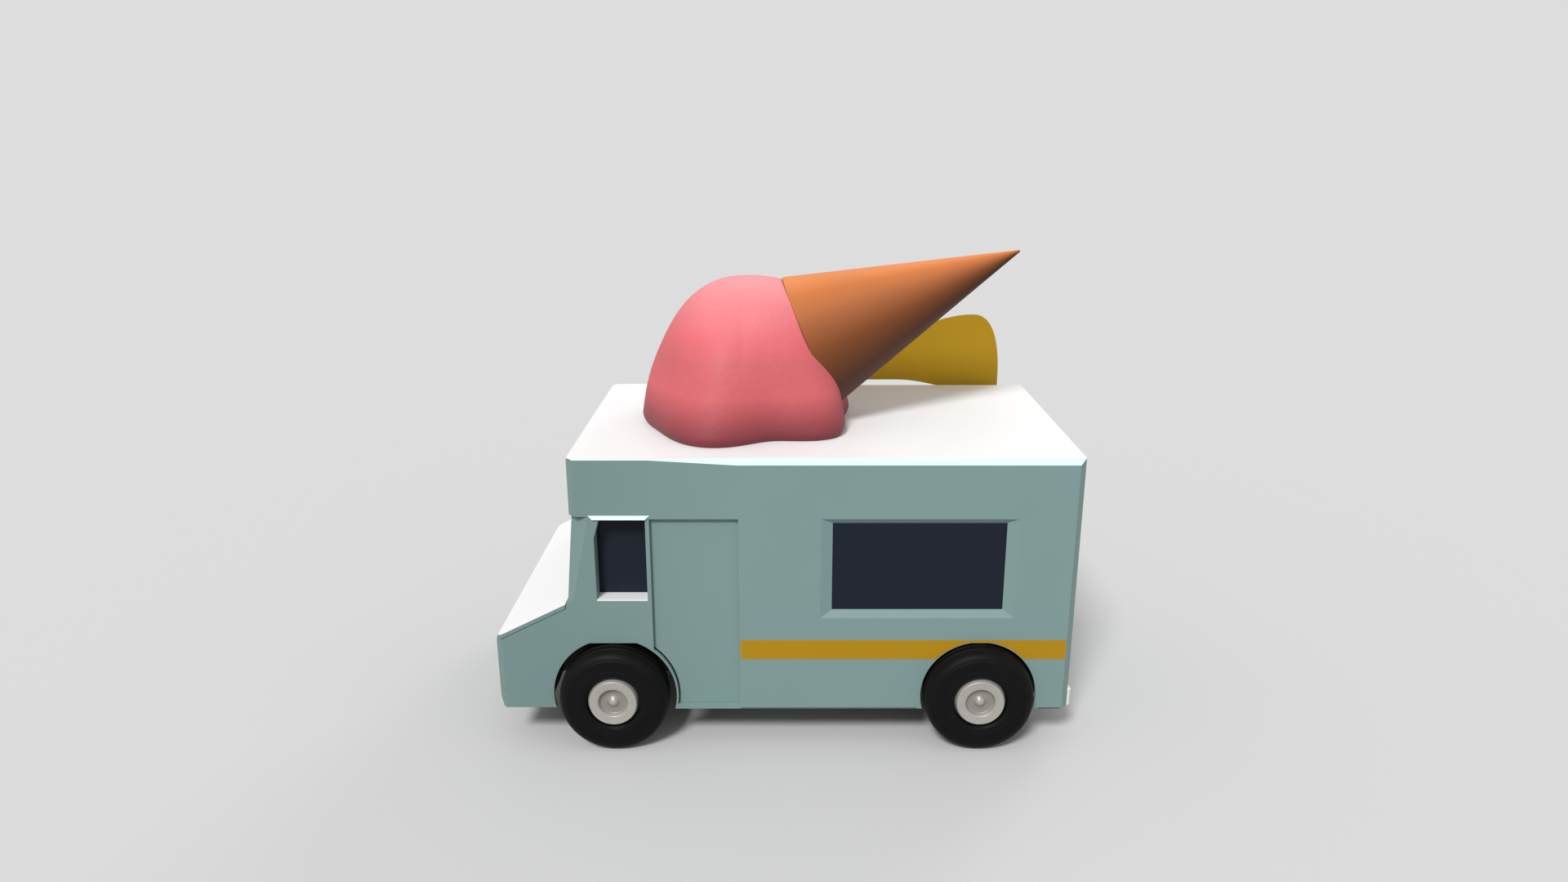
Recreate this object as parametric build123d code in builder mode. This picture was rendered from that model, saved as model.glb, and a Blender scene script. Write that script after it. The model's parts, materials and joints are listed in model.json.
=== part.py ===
from build123d import *
import math
import os

os.makedirs("parts", exist_ok=True)

# Millimetres. X runs forward, Y to the vehicle's left and Z up from the road.
# The origin lies on the road, midway along and across the whole vehicle.

# Body shell
half_width = 1166          # centre line to the outer face of a side
nose_x = 2196              # front face of the nose
tail_x = -2169             # rear face of the box
sill_z = 295               # lower edge of the sides
roof_z = 2302              # top of the roof
wall = 30                  # a side skin with its frames
shut_gap = 6               # shut lines and running gaps between panels
skin_gap = 0.3             # curved faces that sit against each other
roof_depth = 60            # roof panel from its underside to its top
roof_bevel_rise = 41       # bevel along the roof edge
roof_bevel_run = 50
corner_bevel = 50          # bevelled upright corners at the tail and the nose
wall_top_z = roof_z - roof_depth
inner_half = half_width - wall

# Running gear
front_axle_x = 1306
wheelbase = 2775
rear_axle_x = front_axle_x - wheelbase
tyre_radius = 417
tyre_width = 287
hub_z = tyre_radius
wheel_y = half_width       # middle plane of the wheels
rim_radius = 194
rim_width = 200
kingpin_inset = 116
kingpin_y = wheel_y - kingpin_inset
steer_arm = 130            # kingpin to the ball of the track rod
stub_radius = 30
running_fit = 0.05         # radial clearance of a turning bore on its shaft

# Wheel openings
arch_radius = 470          # room for the steered wheels
rear_arch_radius = 440
arch_gap = 18              # level top of the opening over the tyre
housing_skin = 8
housing_depth = 376        # front wheel housings, from the side's inner face
rear_housing_depth = 151
housing_inner_y = inner_half - housing_depth
rear_housing_inner_y = inner_half - rear_housing_depth

# Ladder frame
rail_y = 400
rail_width = 70
rail_height = 90
rail_low_z = 310           # underside between the axles
rail_high_z = 500          # underside over the axles
rail_front_x = 2120
rail_rear_x = -2090
front_kick_x = (1000, 1190)

# Floor, stepped over the frame
floor_z = 450              # top of the low floor
floor_depth = 50
high_floor_z = 640         # top of the floor over the axles
step_x = -960              # riser up to the rear floor
riser = 40
rear_kick_run = 180
rear_kick_x = (step_x - riser, step_x - riser - rear_kick_run)
firewall_x = front_kick_x[1]

# Leaf springs
spring_y = 500
spring_width = 60
spring_half = 480
spring_sag = 20
spring_top_z = 350         # top of the pack under the axle
leaf_thickness = 12
eye_radius = 20
spring_pin_radius = 12


def across(y_one, y_two):
    """Upright plane facing across the vehicle, at the larger of two offsets to the left"""
    return Plane.XZ.offset(-max(y_one, y_two))


def area(low_a, high_a, low_b, high_b, mode=Mode.ADD):
    """Rectangle of the current sketch between two limits each way"""
    with Locations(((low_a + high_a) / 2, (low_b + high_b) / 2)):
        Rectangle(high_a - low_a, high_b - low_b, mode=mode)


def block(x_range, y_range, z_range, mode=Mode.ADD):
    """Box of the current part between two limits each way"""
    ranges = [sorted(r) for r in (x_range, y_range, z_range)]
    middle = [(low + high) / 2 for low, high in ranges]
    size = [high - low for low, high in ranges]
    with Locations(tuple(middle)):
        Box(*size, mode=mode)


def rod(start, end, radius, mode=Mode.ADD):
    """Round bar of the current part from one point to another"""
    axis = Vector(*end) - Vector(*start)
    with Locations(Plane(origin=start, z_dir=axis)):
        Cylinder(radius, axis.length, align=(Align.CENTER, Align.CENTER, Align.MIN), mode=mode)


def keep(piece, name):
    """Name a finished piece and write it to its own file"""
    piece.label = name
    export_step(piece, f"parts/{name}.step")


sides = (("left", 1), ("right", -1))

# Ladder frame: two cranked rails, cross members and the hangers of the springs
rail_foot = [
    (rail_front_x, rail_high_z),
    (front_kick_x[1], rail_high_z),
    (front_kick_x[0], rail_low_z),
    (rear_kick_x[0], rail_low_z),
    (rear_kick_x[1], rail_high_z),
    (rail_rear_x, rail_high_z),
]
rail_head = [(x, z + rail_height) for x, z in reversed(rail_foot)]
rail_inner = rail_y - rail_width / 2
rail_outer = rail_y + rail_width / 2
cross_depth = 60
# x of each cross member, underside height
cross_members = [(2060, rail_high_z), (300, rail_low_z), (-600, rail_low_z), (-2040, rail_high_z)]
shaft_z = 362              # propeller shaft along the low floor
shaft_radius = 30
shaft_hole = 45
hanger_gap = 0.3           # spring eye beside its hanger
hanger_outer = spring_y - spring_width / 2 - hanger_gap
eye_z = spring_top_z - leaf_thickness / 2 + spring_sag
# x of a spring eye, top of its hanger on the rail
hangers = [
    (front_axle_x + spring_half, rail_high_z + rail_height),
    (front_axle_x - spring_half, rail_low_z + rail_height),
    (rear_axle_x + spring_half, rail_low_z + rail_height),
    (rear_axle_x - spring_half, rail_high_z + rail_height),
]
hanger_width = 60
with BuildPart() as chassis_frame:
    for _, sign in sides:
        with BuildSketch(across(sign * rail_inner, sign * rail_outer)):
            Polygon(*rail_foot, *rail_head, align=None)
        extrude(amount=rail_width)
        for eye_x, hanger_top in hangers:
            block((eye_x - hanger_width / 2, eye_x + hanger_width / 2),
                  (sign * rail_outer, sign * hanger_outer),
                  (eye_z - eye_radius, hanger_top))
            rod((eye_x, sign * hanger_outer, eye_z),
                (eye_x, sign * (spring_y + spring_width / 2), eye_z), spring_pin_radius)
    for cross_x, cross_z in cross_members:
        block((cross_x - cross_depth / 2, cross_x + cross_depth / 2),
              (-rail_inner, rail_inner), (cross_z, cross_z + rail_height))
        rod((cross_x - cross_depth, 0, shaft_z), (cross_x + cross_depth, 0, shaft_z),
            shaft_hole, mode=Mode.SUBTRACT)
keep(chassis_frame.part, "chassis_frame")

# Leaf springs: packs of three curved leaves under each axle, rolled to eyes at their ends
# half length of a leaf, place in the pack from the top
leaves = [(spring_half, 0), (0.72 * spring_half, 1), (0.44 * spring_half, 2)]
leaf_bend = (spring_half ** 2 + spring_sag ** 2) / (2 * spring_sag)
with BuildPart() as leaf_springs:
    for axle_x in (front_axle_x, rear_axle_x):
        for _, sign in sides:
            y_in = sign * (spring_y - spring_width / 2)
            y_out = sign * (spring_y + spring_width / 2)
            for leaf_half, place in leaves:
                bend = leaf_bend + leaf_thickness * (place + 1)
                with BuildSketch(across(y_in, y_out)):
                    with Locations((axle_x, spring_top_z + leaf_bend)):
                        Circle(bend)
                        Circle(bend - leaf_thickness, mode=Mode.SUBTRACT)
                    area(axle_x - leaf_half, axle_x + leaf_half, 0, spring_top_z * 2, Mode.INTERSECT)
                extrude(amount=spring_width)
            for end in (-1, 1):
                eye = (axle_x + end * spring_half, eye_z)
                rod((eye[0], y_in, eye[1]), (eye[0], y_out, eye[1]), eye_radius)
            for end in (-1, 1):
                eye = (axle_x + end * spring_half, eye_z)
                rod((eye[0], y_in, eye[1]), (eye[0], y_out, eye[1]),
                    spring_pin_radius + skin_gap, mode=Mode.SUBTRACT)
keep(leaf_springs.part, "leaf_springs")

# Front axle: dropped beam with an eye for the kingpin at each end
beam_depth = 60
beam_height = 90
beam_drop = 30             # lower middle, under the gearbox
beam_drop_y = (200, 330)
fist_radius = 38
fist_half = 40
kingpin_radius = 16
kingpin_half = 78
fork_radius = 36
beam_setback = 8           # beam's end short of the fork
beam_end = kingpin_y - fork_radius - beam_setback
beam_foot = spring_top_z + skin_gap
beam_foot_line = [
    (-beam_end, beam_foot), (-beam_drop_y[1], beam_foot),
    (-beam_drop_y[0], beam_foot - beam_drop), (beam_drop_y[0], beam_foot - beam_drop),
    (beam_drop_y[1], beam_foot), (beam_end, beam_foot),
]
beam_head_line = [(y, z + beam_height) for y, z in reversed(beam_foot_line)]
with BuildPart() as front_axle:
    with BuildSketch(Plane.YZ.offset(front_axle_x - beam_depth / 2)):
        Polygon(*beam_foot_line, *beam_head_line, align=None)
    extrude(amount=beam_depth)
    for _, sign in sides:
        pin = (front_axle_x, sign * kingpin_y)
        block((front_axle_x - beam_depth / 2, front_axle_x + beam_depth / 2),
              (sign * (beam_end - beam_depth / 2), sign * kingpin_y), (hub_z - fist_half, hub_z + fist_half))
        rod((*pin, hub_z - fist_half), (*pin, hub_z + fist_half), fist_radius)
        rod((*pin, hub_z - kingpin_half), (*pin, hub_z + kingpin_half), kingpin_radius)
keep(front_axle.part, "front_axle")

# Steering knuckles: forked to hold the kingpin, with brake drum, stub axle and arm
fork_gap = 1.0             # thrust clearance of the fork on the axle eye
fork_thickness = 34
drum_radius = 165
drum_reach = (55, 115)     # inner and outer face of the drum from the kingpin
drum_inner_y = kingpin_y + drum_reach[0]
drum_outer_y = kingpin_y + drum_reach[1]
web_gap = 6                # web of the knuckle beside the axle eye
web_lap = 5                # web run into the drum
web_y = (kingpin_y + fist_radius + web_gap, drum_inner_y + web_lap)
web_half_depth = 30
stub_reach = 96            # end of the stub axle from the middle of the wheel
stub_end_y = wheel_y + stub_reach
arm_half = 15
arm_boss_radius = 22
arm_thickness = 20
ball_bore_half = 60
ball_radius = 9
for side, sign in sides:
    with BuildPart() as knuckle:
        pin = (front_axle_x, sign * kingpin_y)
        for end in (-1, 1):
            near = hub_z + end * (fist_half + fork_gap)
            far = near + end * fork_thickness
            rod((*pin, near), (*pin, far), fork_radius)
            block((front_axle_x - web_half_depth, front_axle_x + web_half_depth),
                  (sign * kingpin_y, sign * web_y[1]), (near, far))
            rod((*pin, near - end), (*pin, far + end), kingpin_radius + running_fit, mode=Mode.SUBTRACT)
        reach = fist_half + fork_gap + fork_thickness
        block((front_axle_x - web_half_depth, front_axle_x + web_half_depth),
              (sign * web_y[0], sign * web_y[1]), (hub_z - reach, hub_z + reach))
        rod((front_axle_x, sign * drum_inner_y, hub_z), (front_axle_x, sign * drum_outer_y, hub_z),
            drum_radius)
        rod((front_axle_x, sign * drum_inner_y, hub_z), (front_axle_x, sign * stub_end_y, hub_z), stub_radius)
        arm_x = front_axle_x + steer_arm
        arm_low = hub_z + fist_half + fork_gap
        block((arm_x, front_axle_x + web_half_depth / 2),
              (sign * (kingpin_y - arm_half), sign * (kingpin_y + arm_half)),
              (arm_low, arm_low + arm_thickness))
        rod((arm_x, sign * kingpin_y, arm_low), (arm_x, sign * kingpin_y, arm_low + arm_thickness),
            arm_boss_radius)
        rod((*pin, arm_low - 1), (*pin, arm_low + fork_thickness + 1),
            kingpin_radius + running_fit, mode=Mode.SUBTRACT)
        rod((arm_x, sign * kingpin_y, arm_low - ball_bore_half),
            (arm_x, sign * kingpin_y, arm_low + ball_bore_half),
            ball_radius + running_fit, mode=Mode.SUBTRACT)
    keep(knuckle.part, f"knuckle_{side}")

# Track rod: joins the two steering arms from below with a ball stud at each end
rod_radius = 14
rod_eye_radius = 20
rod_eye_height = 30
arm_clearance = 2          # rod eye under the arm
stud_head = 4              # ball stud above the arm
stud_height = arm_thickness + arm_clearance + stud_head
rod_top_z = arm_low - arm_clearance
with BuildPart() as track_rod:
    rod_z = rod_top_z - rod_eye_height / 2
    rod((arm_x, -kingpin_y, rod_z), (arm_x, kingpin_y, rod_z), rod_radius)
    for _, sign in sides:
        rod((arm_x, sign * kingpin_y, rod_top_z - rod_eye_height),
            (arm_x, sign * kingpin_y, rod_top_z), rod_eye_radius)
        rod((arm_x, sign * kingpin_y, rod_top_z),
            (arm_x, sign * kingpin_y, rod_top_z + stud_height), ball_radius)
keep(track_rod.part, "track_rod")

# Rear axle: tube with a round differential housing, brake drums, stubs and spring seats
tube_radius = 55
diff_radius = 150
case_neck_half = 176       # housing runs out on the tube here
case_bend = (127.5, 82.5)  # radius and half width at the bend of the housing
case_crown_half = 33
pinion_reach = 235
pinion_x = rear_axle_x + pinion_reach
pinion_radius = 60
seat_half = 50
with BuildPart() as rear_axle:
    rod((rear_axle_x, -drum_inner_y, hub_z), (rear_axle_x, drum_inner_y, hub_z), tube_radius)
    with BuildSketch(Plane.XY.offset(hub_z)):
        half_case = [(rear_axle_x + tube_radius, case_neck_half),
                     (rear_axle_x + case_bend[0], case_bend[1]),
                     (rear_axle_x + diff_radius, case_crown_half)]
        Polygon((rear_axle_x, case_neck_half), *half_case, *[(x, -y) for x, y in reversed(half_case)],
                (rear_axle_x, -case_neck_half), align=None)
    revolve(axis=Axis((rear_axle_x, 0, hub_z), (0, 1, 0)))
    rod((rear_axle_x, 0, shaft_z), (pinion_x, 0, shaft_z), pinion_radius)
    for _, sign in sides:
        rod((rear_axle_x, sign * drum_inner_y, hub_z), (rear_axle_x, sign * drum_outer_y, hub_z), drum_radius)
        rod((rear_axle_x, sign * drum_inner_y, hub_z), (rear_axle_x, sign * stub_end_y, hub_z), stub_radius)
        block((rear_axle_x - seat_half, rear_axle_x + seat_half),
              (sign * (spring_y - spring_width / 2), sign * (spring_y + spring_width / 2)),
              (beam_foot, hub_z))
keep(rear_axle.part, "rear_axle")

# Propeller shaft: two lengths, the front one sloping down to a centre bearing under the floor
bearing_x = 700
gearbox_x = 1020           # rear end of the gearbox
gearbox_z = 480            # height of its output
joint_radius = 42
joint_length = 90
bearing_half = 35
bearing_top_z = floor_z - floor_depth
with BuildPart() as propeller_shaft:
    rod((bearing_x, 0, shaft_z), (pinion_x, 0, shaft_z), shaft_radius)
    rod((pinion_x + joint_length, 0, shaft_z), (pinion_x, 0, shaft_z), joint_radius)
    block((bearing_x - bearing_half, bearing_x + bearing_half), (-joint_radius, joint_radius),
          (shaft_z - joint_radius, bearing_top_z))
    block((bearing_x - bearing_half, bearing_x + bearing_half), (-rail_inner, rail_inner),
          (bearing_top_z - leaf_thickness, bearing_top_z))
    rod((gearbox_x - shaft_radius / 2, 0, gearbox_z), (bearing_x, 0, shaft_z), shaft_radius)
keep(propeller_shaft.part, "propeller_shaft")

# Engine with its gearbox: a plain block on arms that rest on the rails
engine_x = (1390, 2030)
engine_half = 250
engine_lift = 10           # sump above the rails' foot
engine_top_z = 870
engine_z = (rail_high_z + engine_lift, engine_top_z)
engine_bevel = 40
gearbox_half = 130
gearbox_depth = 60         # above and below its shaft
bell_rise = (10, 150)      # bell housing on the back of the engine
bell_x = 1230              # front of the gearbox's level foot
arm_x_range = (1640, 1760)
arm_depth = 40
with BuildPart() as engine_block:
    block(engine_x, (-engine_half, engine_half), engine_z)
    chamfer(engine_block.edges().filter_by(Axis.X), engine_bevel)
    block(arm_x_range, (-rail_outer, rail_outer),
          (rail_high_z + rail_height, rail_high_z + rail_height + arm_depth))
    with BuildSketch(Plane.XZ.offset(-gearbox_half)):
        Polygon((engine_x[0], engine_z[0] + bell_rise[0]), (engine_x[0], engine_z[0] + bell_rise[1]),
                (gearbox_x, gearbox_z + gearbox_depth), (gearbox_x, gearbox_z - gearbox_depth),
                (bell_x, gearbox_z - gearbox_depth), align=None)
    extrude(amount=2 * gearbox_half)
keep(engine_block.part, "engine_block")

# Tyres and wheels: smooth fat tyres on pressed steel wheels with a proud dished centre
tyre_bore = rim_radius + skin_gap
bead_seat = 12             # rim flange outside the bead
bead_half = rim_width / 2 - bead_seat
# distance below the tread, how far the flank is drawn in there
flank_steps = [(140, 10), (80, 0), (42, 12), (12, 38), (0, 72)]
tyre_flank = [(tyre_radius - depth, drop) for depth, drop in flank_steps]
half_tyre = tyre_width / 2
hub_gap = 4                # hub outside the brake drum
hub_inner = drum_outer_y - wheel_y + hub_gap     # y from the middle plane of the wheel
face_y = 137               # flat ring that stands out of the tyre
ring_radius = 177
dish_radius = 114
ring_fall = 4              # ring lower at the dish than at its rim
dish_slope = 14
ring_gauge = (18, 30)      # behind the ring, inwards and back
barrel_step = 20
dish_y = 98
cone_radius = 46
cone_top_radius = 26
cone_y = 128
barrel_radius = 181
disc_back_y = 70
wheels = [
    ("front_left", front_axle_x, 1), ("front_right", front_axle_x, -1),
    ("rear_left", rear_axle_x, 1), ("rear_right", rear_axle_x, -1),
]
hub_radius = 62
bore_end_y = stub_end_y - wheel_y + 2
for name, axle_x, sign in wheels:
    # radius from the axle along x, distance outboard along y
    hub_plane = Plane(origin=(axle_x, sign * wheel_y, hub_z), x_dir=(1, 0, 0), z_dir=(0, 0, sign))
    spin_axis = Axis((axle_x, 0, hub_z), (0, 1, 0))
    with BuildPart() as tyre:
        with BuildSketch(hub_plane):
            flank = [(tyre_bore, bead_half)] + [(r, half_tyre - drop) for r, drop in tyre_flank]
            Polygon(*flank, *[(r, -w) for r, w in reversed(flank)], align=None)
        revolve(axis=spin_axis)
    keep(tyre.part, f"tyre_{name}")
    with BuildPart() as wheel:
        with BuildSketch(hub_plane):
            Polygon((barrel_radius, -rim_width / 2), (rim_radius, -rim_width / 2),
                    (rim_radius, rim_width / 2),
                    (ring_radius, face_y), (dish_radius, face_y - ring_fall),
                    (dish_radius - dish_slope, dish_y),
                    (cone_radius, dish_y), (cone_top_radius, cone_y), (0, cone_y), (0, bore_end_y),
                    (stub_radius + running_fit, bore_end_y), (stub_radius + running_fit, hub_inner),
                    (hub_radius, hub_inner), (hub_radius, disc_back_y), (dish_radius, disc_back_y),
                    (ring_radius - ring_gauge[0], face_y - ring_gauge[1]),
                    (barrel_radius, rim_width / 2 - barrel_step), align=None)
        revolve(axis=spin_axis)
    keep(wheel.part, f"wheel_{name}")

# Wheel housings: half round tubs behind the wheel openings, closed at their inner ends
arch_top_z = hub_z + tyre_radius + arch_gap
housing_gap = 10           # housing outside the front opening
rear_housing_gap = 5
housing_radius = arch_radius + housing_gap
rear_housing_radius = rear_arch_radius + rear_housing_gap
tub_foot_z = floor_z - floor_depth
# name, axle, centre height, inner radius, inner end, half width and top of the gap over the axle
housings = [
    ("front_wheel_housings", front_axle_x, hub_z, housing_radius, housing_inner_y, 200, 560),
    ("rear_wheel_housings", rear_axle_x, hub_z, rear_housing_radius, rear_housing_inner_y, 100, 520),
]
for name, axle_x, tub_z, tub_radius, tub_y, gap_half, gap_z in housings:
    with BuildPart() as housing:
        for _, sign in sides:
            tub_end = sign * (tub_y - housing_skin)
            with BuildSketch(across(tub_end, sign * inner_half)):
                with Locations((axle_x, tub_z)):
                    Circle(tub_radius + housing_skin)
                    Circle(tub_radius, mode=Mode.SUBTRACT)
                area(axle_x - 2 * tub_radius, axle_x + 2 * tub_radius,
                     tub_foot_z - 2 * tub_radius, tub_foot_z, Mode.SUBTRACT)
            extrude(amount=inner_half - abs(tub_end))
            with BuildSketch(across(tub_end, sign * tub_y)):
                with Locations((axle_x, tub_z)):
                    Circle(tub_radius + housing_skin)
                area(axle_x - 2 * tub_radius, axle_x + 2 * tub_radius,
                     tub_foot_z - 2 * tub_radius, tub_foot_z, Mode.SUBTRACT)
                area(axle_x - gap_half, axle_x + gap_half, 0, gap_z, Mode.SUBTRACT)
            extrude(amount=housing_skin)
    keep(housing.part, name)


def clear_of_housings():
    """Cut the wheel housings, with a small gap, from the current part"""
    for _, axle_x, tub_z, tub_radius, tub_y, _, _ in housings:
        for _, sign in sides:
            rod((axle_x, sign * (tub_y - housing_skin - skin_gap), tub_z), (axle_x, sign * half_width, tub_z),
                tub_radius + housing_skin + skin_gap, mode=Mode.SUBTRACT)


# Sliding entry doors: slabs that hang just inside the sides and run back along them
door_travel = 560
door_skin = 34
door_y = (inner_half - shut_gap - door_skin, inner_half - shut_gap)
door_x = (338, 1008)
door_foot_z = 300
door_head_z = 1884
door_path_x = (door_x[0] - door_travel - 2 * shut_gap, door_x[1] + shut_gap)

# Floor: one stepped pan with a tunnel over the gearbox and slots for the doors
rear_frame_depth = 60
floor_rear_x = tail_x + rear_frame_depth
tunnel_x = 640
tunnel_half = 162
tunnel_skin = 12
floor_top = [
    (firewall_x, high_floor_z), (front_kick_x[0], floor_z), (step_x, floor_z), (step_x, high_floor_z),
    (floor_rear_x, high_floor_z),
]
floor_under = [
    (floor_rear_x, high_floor_z - floor_depth), (step_x - riser, high_floor_z - floor_depth),
    (step_x - riser, tub_foot_z), (front_kick_x[0], tub_foot_z), (firewall_x, high_floor_z - floor_depth),
]
with BuildPart() as floor_pan:
    with BuildSketch(across(-inner_half, inner_half)):
        Polygon(*floor_top, *floor_under, align=None)
    extrude(amount=2 * inner_half)
    block((tunnel_x - tunnel_skin, firewall_x), (-tunnel_half, tunnel_half), (tub_foot_z, high_floor_z))
    block((tunnel_x, firewall_x + 1), (tunnel_skin - tunnel_half, tunnel_half - tunnel_skin),
          (tub_foot_z - 1, high_floor_z - tunnel_skin), mode=Mode.SUBTRACT)
    for _, sign in sides:
        block(door_path_x, (sign * (door_y[0] - shut_gap), sign * half_width),
              (tub_foot_z - 1, high_floor_z + 1), mode=Mode.SUBTRACT)
    clear_of_housings()
keep(floor_pan.part, "floor_pan")

# Firewall between the engine bay and the cab
firewall_depth = 30
tunnel_rise = 40           # opening for the gearbox above the floor
dash_z = 1120              # underside of the dashboard
with BuildPart() as firewall:
    block((firewall_x, firewall_x + firewall_depth), (-inner_half, inner_half),
          (high_floor_z - floor_depth, dash_z))
    block((firewall_x, firewall_x + firewall_depth), (-tunnel_half, tunnel_half),
          (high_floor_z - floor_depth, high_floor_z + tunnel_rise), mode=Mode.SUBTRACT)
    clear_of_housings()
keep(firewall.part, "firewall")


def wheel_opening(axle_x, radius):
    """Round wheel opening of the current sketch, cut off level a little above the tyre"""
    with Locations((axle_x, hub_z)):
        Circle(radius)
    area(axle_x - 2 * radius, axle_x + 2 * radius, hub_z - 2 * radius, arch_top_z, Mode.INTERSECT)


# Box sides: flat panels with the wheel opening and a bevelled recess round the serving window
cab_seam_x = 350
serve_outer = (-1707, -255, 1059, 1849)    # x and z limits at the outer face
serve_inner = (-1622, -342, 1119, 1811)    # x and z limits of the clear opening
recess_depth = 26
pane = 6
pane_lap = 20
for side, sign in sides:
    with BuildPart() as side_wall:
        with BuildSketch(across(sign * inner_half, sign * half_width)):
            area(floor_rear_x, cab_seam_x, sill_z, wall_top_z)
            area(*serve_inner, mode=Mode.SUBTRACT)
            with BuildSketch(mode=Mode.SUBTRACT):
                wheel_opening(rear_axle_x, rear_arch_radius)
        extrude(amount=wall)
        with BuildSketch(Plane.XZ.offset(-sign * half_width)):
            area(*serve_outer)
        with BuildSketch(Plane.XZ.offset(-sign * (half_width - recess_depth))):
            area(*serve_inner)
        loft(mode=Mode.SUBTRACT)
    keep(side_wall.part, f"side_wall_{side}")

with BuildPart() as serving_glass:
    for _, sign in sides:
        y_in, y_out = sign * (inner_half - pane), sign * inner_half
        with BuildSketch(across(y_in, y_out)):
            x_low, x_high, z_low, z_high = serve_inner
            area(x_low - pane_lap, x_high + pane_lap, z_low - pane_lap, z_high + pane_lap)
        extrude(amount=pane)
keep(serving_glass.part, "serving_glass")

# Cab sides: header, thin door pillar, window with a deep surround, and the front wing
header_z = 1849            # underside of the header over door and window
door_front_x = 1000
door_sill_z = 330
pillar = 30
arch_band = 14             # lip of the wing round the wheel opening
screen_foot = (1635, 1193) # front lower edge of the windscreen, x and z
screen_head = (1578, 1868)
pillar_foot_x = 1586       # outer rear edge of the screen pillar at its foot and head
pillar_head_x = 1447
header_front_x = 1590
header_depth = 50
bonnet_front = (2181, 904) # front edge of the bonnet, x and z
bonnet_rear_x = 1650
bonnet_slope = 0.498
bonnet_drop = 33.5         # depth of the bonnet measured upright
nose_depth = 60
nose_rear_x = nose_x - nose_depth
nose_foot_z = 307
cowl_x = bonnet_rear_x - shut_gap


def bonnet_z(x):
    """Height of the bonnet line above the road at a place along the vehicle"""
    return bonnet_front[1] + bonnet_slope * (bonnet_front[0] - x)


wing_drop = bonnet_drop + shut_gap
window_front_x = 1409
window_x = (door_front_x + pillar, window_front_x)
window_z = (1199, 1840)
window_clip = (39, 140)    # front upper corner cut off, along and down
window_outline = [
    (window_x[0], window_z[0]), (window_x[1], window_z[0]), (window_x[1], window_z[1] - window_clip[1]),
    (window_x[1] - window_clip[0], window_z[1]), (window_x[0], window_z[1]),
]
surround = 14
glass_lap = 9.8            # glass behind the surround
surround_depth = 130
cab_outline = [
    (cab_seam_x, sill_z), (cab_seam_x, wall_top_z), (header_front_x - header_depth, wall_top_z),
    (header_front_x - header_depth, screen_head[1]), (pillar_head_x, screen_head[1]),
    (pillar_foot_x, screen_foot[1]), (pillar_foot_x, bonnet_z(pillar_foot_x) - wing_drop),
    (nose_rear_x, bonnet_z(nose_rear_x) - wing_drop), (nose_rear_x, nose_foot_z),
    (front_axle_x, nose_foot_z), (front_axle_x, sill_z),
]
for side, sign in sides:
    with BuildPart() as cab_side:
        with BuildSketch(across(sign * inner_half, sign * half_width)):
            Polygon(*cab_outline, align=None)
            with BuildSketch(mode=Mode.SUBTRACT):
                area(cab_seam_x, door_front_x, door_sill_z, header_z)
                with Locations((front_axle_x, hub_z)):
                    Circle(arch_radius + arch_band, mode=Mode.SUBTRACT)
            with BuildSketch(mode=Mode.SUBTRACT):
                wheel_opening(front_axle_x, arch_radius)
            Polygon(*window_outline, align=None, mode=Mode.SUBTRACT)
        extrude(amount=wall)
        tube_end = sign * (half_width - surround_depth)
        with BuildSketch(across(tube_end, sign * inner_half)):
            Polygon(*window_outline, align=None)
            offset(amount=surround, kind=Kind.INTERSECTION)
            Polygon(*window_outline, align=None, mode=Mode.SUBTRACT)
        extrude(amount=surround_depth - wall)
    keep(cab_side.part, f"cab_side_{side}")

with BuildPart() as cab_glass:
    for _, sign in sides:
        y_in, y_out = sign * (half_width - surround_depth - pane), sign * (half_width - surround_depth)
        with BuildSketch(across(y_in, y_out)):
            Polygon(*window_outline, align=None)
            offset(amount=glass_lap, kind=Kind.INTERSECTION)
        extrude(amount=pane)
keep(cab_glass.part, "cab_glass")

# White ledges in the foot of the cab windows
ledge = 12
ledge_gap = 0.5
with BuildPart() as window_ledges:
    for _, sign in sides:
        block((window_x[0] + ledge_gap, window_x[1] - ledge_gap),
              (sign * half_width, sign * (half_width - surround_depth + ledge_gap)),
              (window_z[0], window_z[0] + ledge))
keep(window_ledges.part, "window_ledges")

# Entry doors with the corner over the wheel cut round, and the tracks that carry them
for side, sign in sides:
    with BuildPart() as entry_door:
        with BuildSketch(across(sign * door_y[0], sign * door_y[1])):
            area(*door_x, door_foot_z, door_head_z)
            with Locations((front_axle_x, hub_z)):
                Circle(housing_radius + housing_skin + shut_gap, mode=Mode.SUBTRACT)
        extrude(amount=door_skin)
    keep(entry_door.part, f"entry_door_{side}")

track_depth = 22
with BuildPart() as door_tracks:
    for _, sign in sides:
        block(door_path_x, (sign * door_y[0], sign * inner_half),
              (door_head_z + skin_gap, door_head_z + skin_gap + track_depth))
keep(door_tracks.part, "door_tracks")

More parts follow.
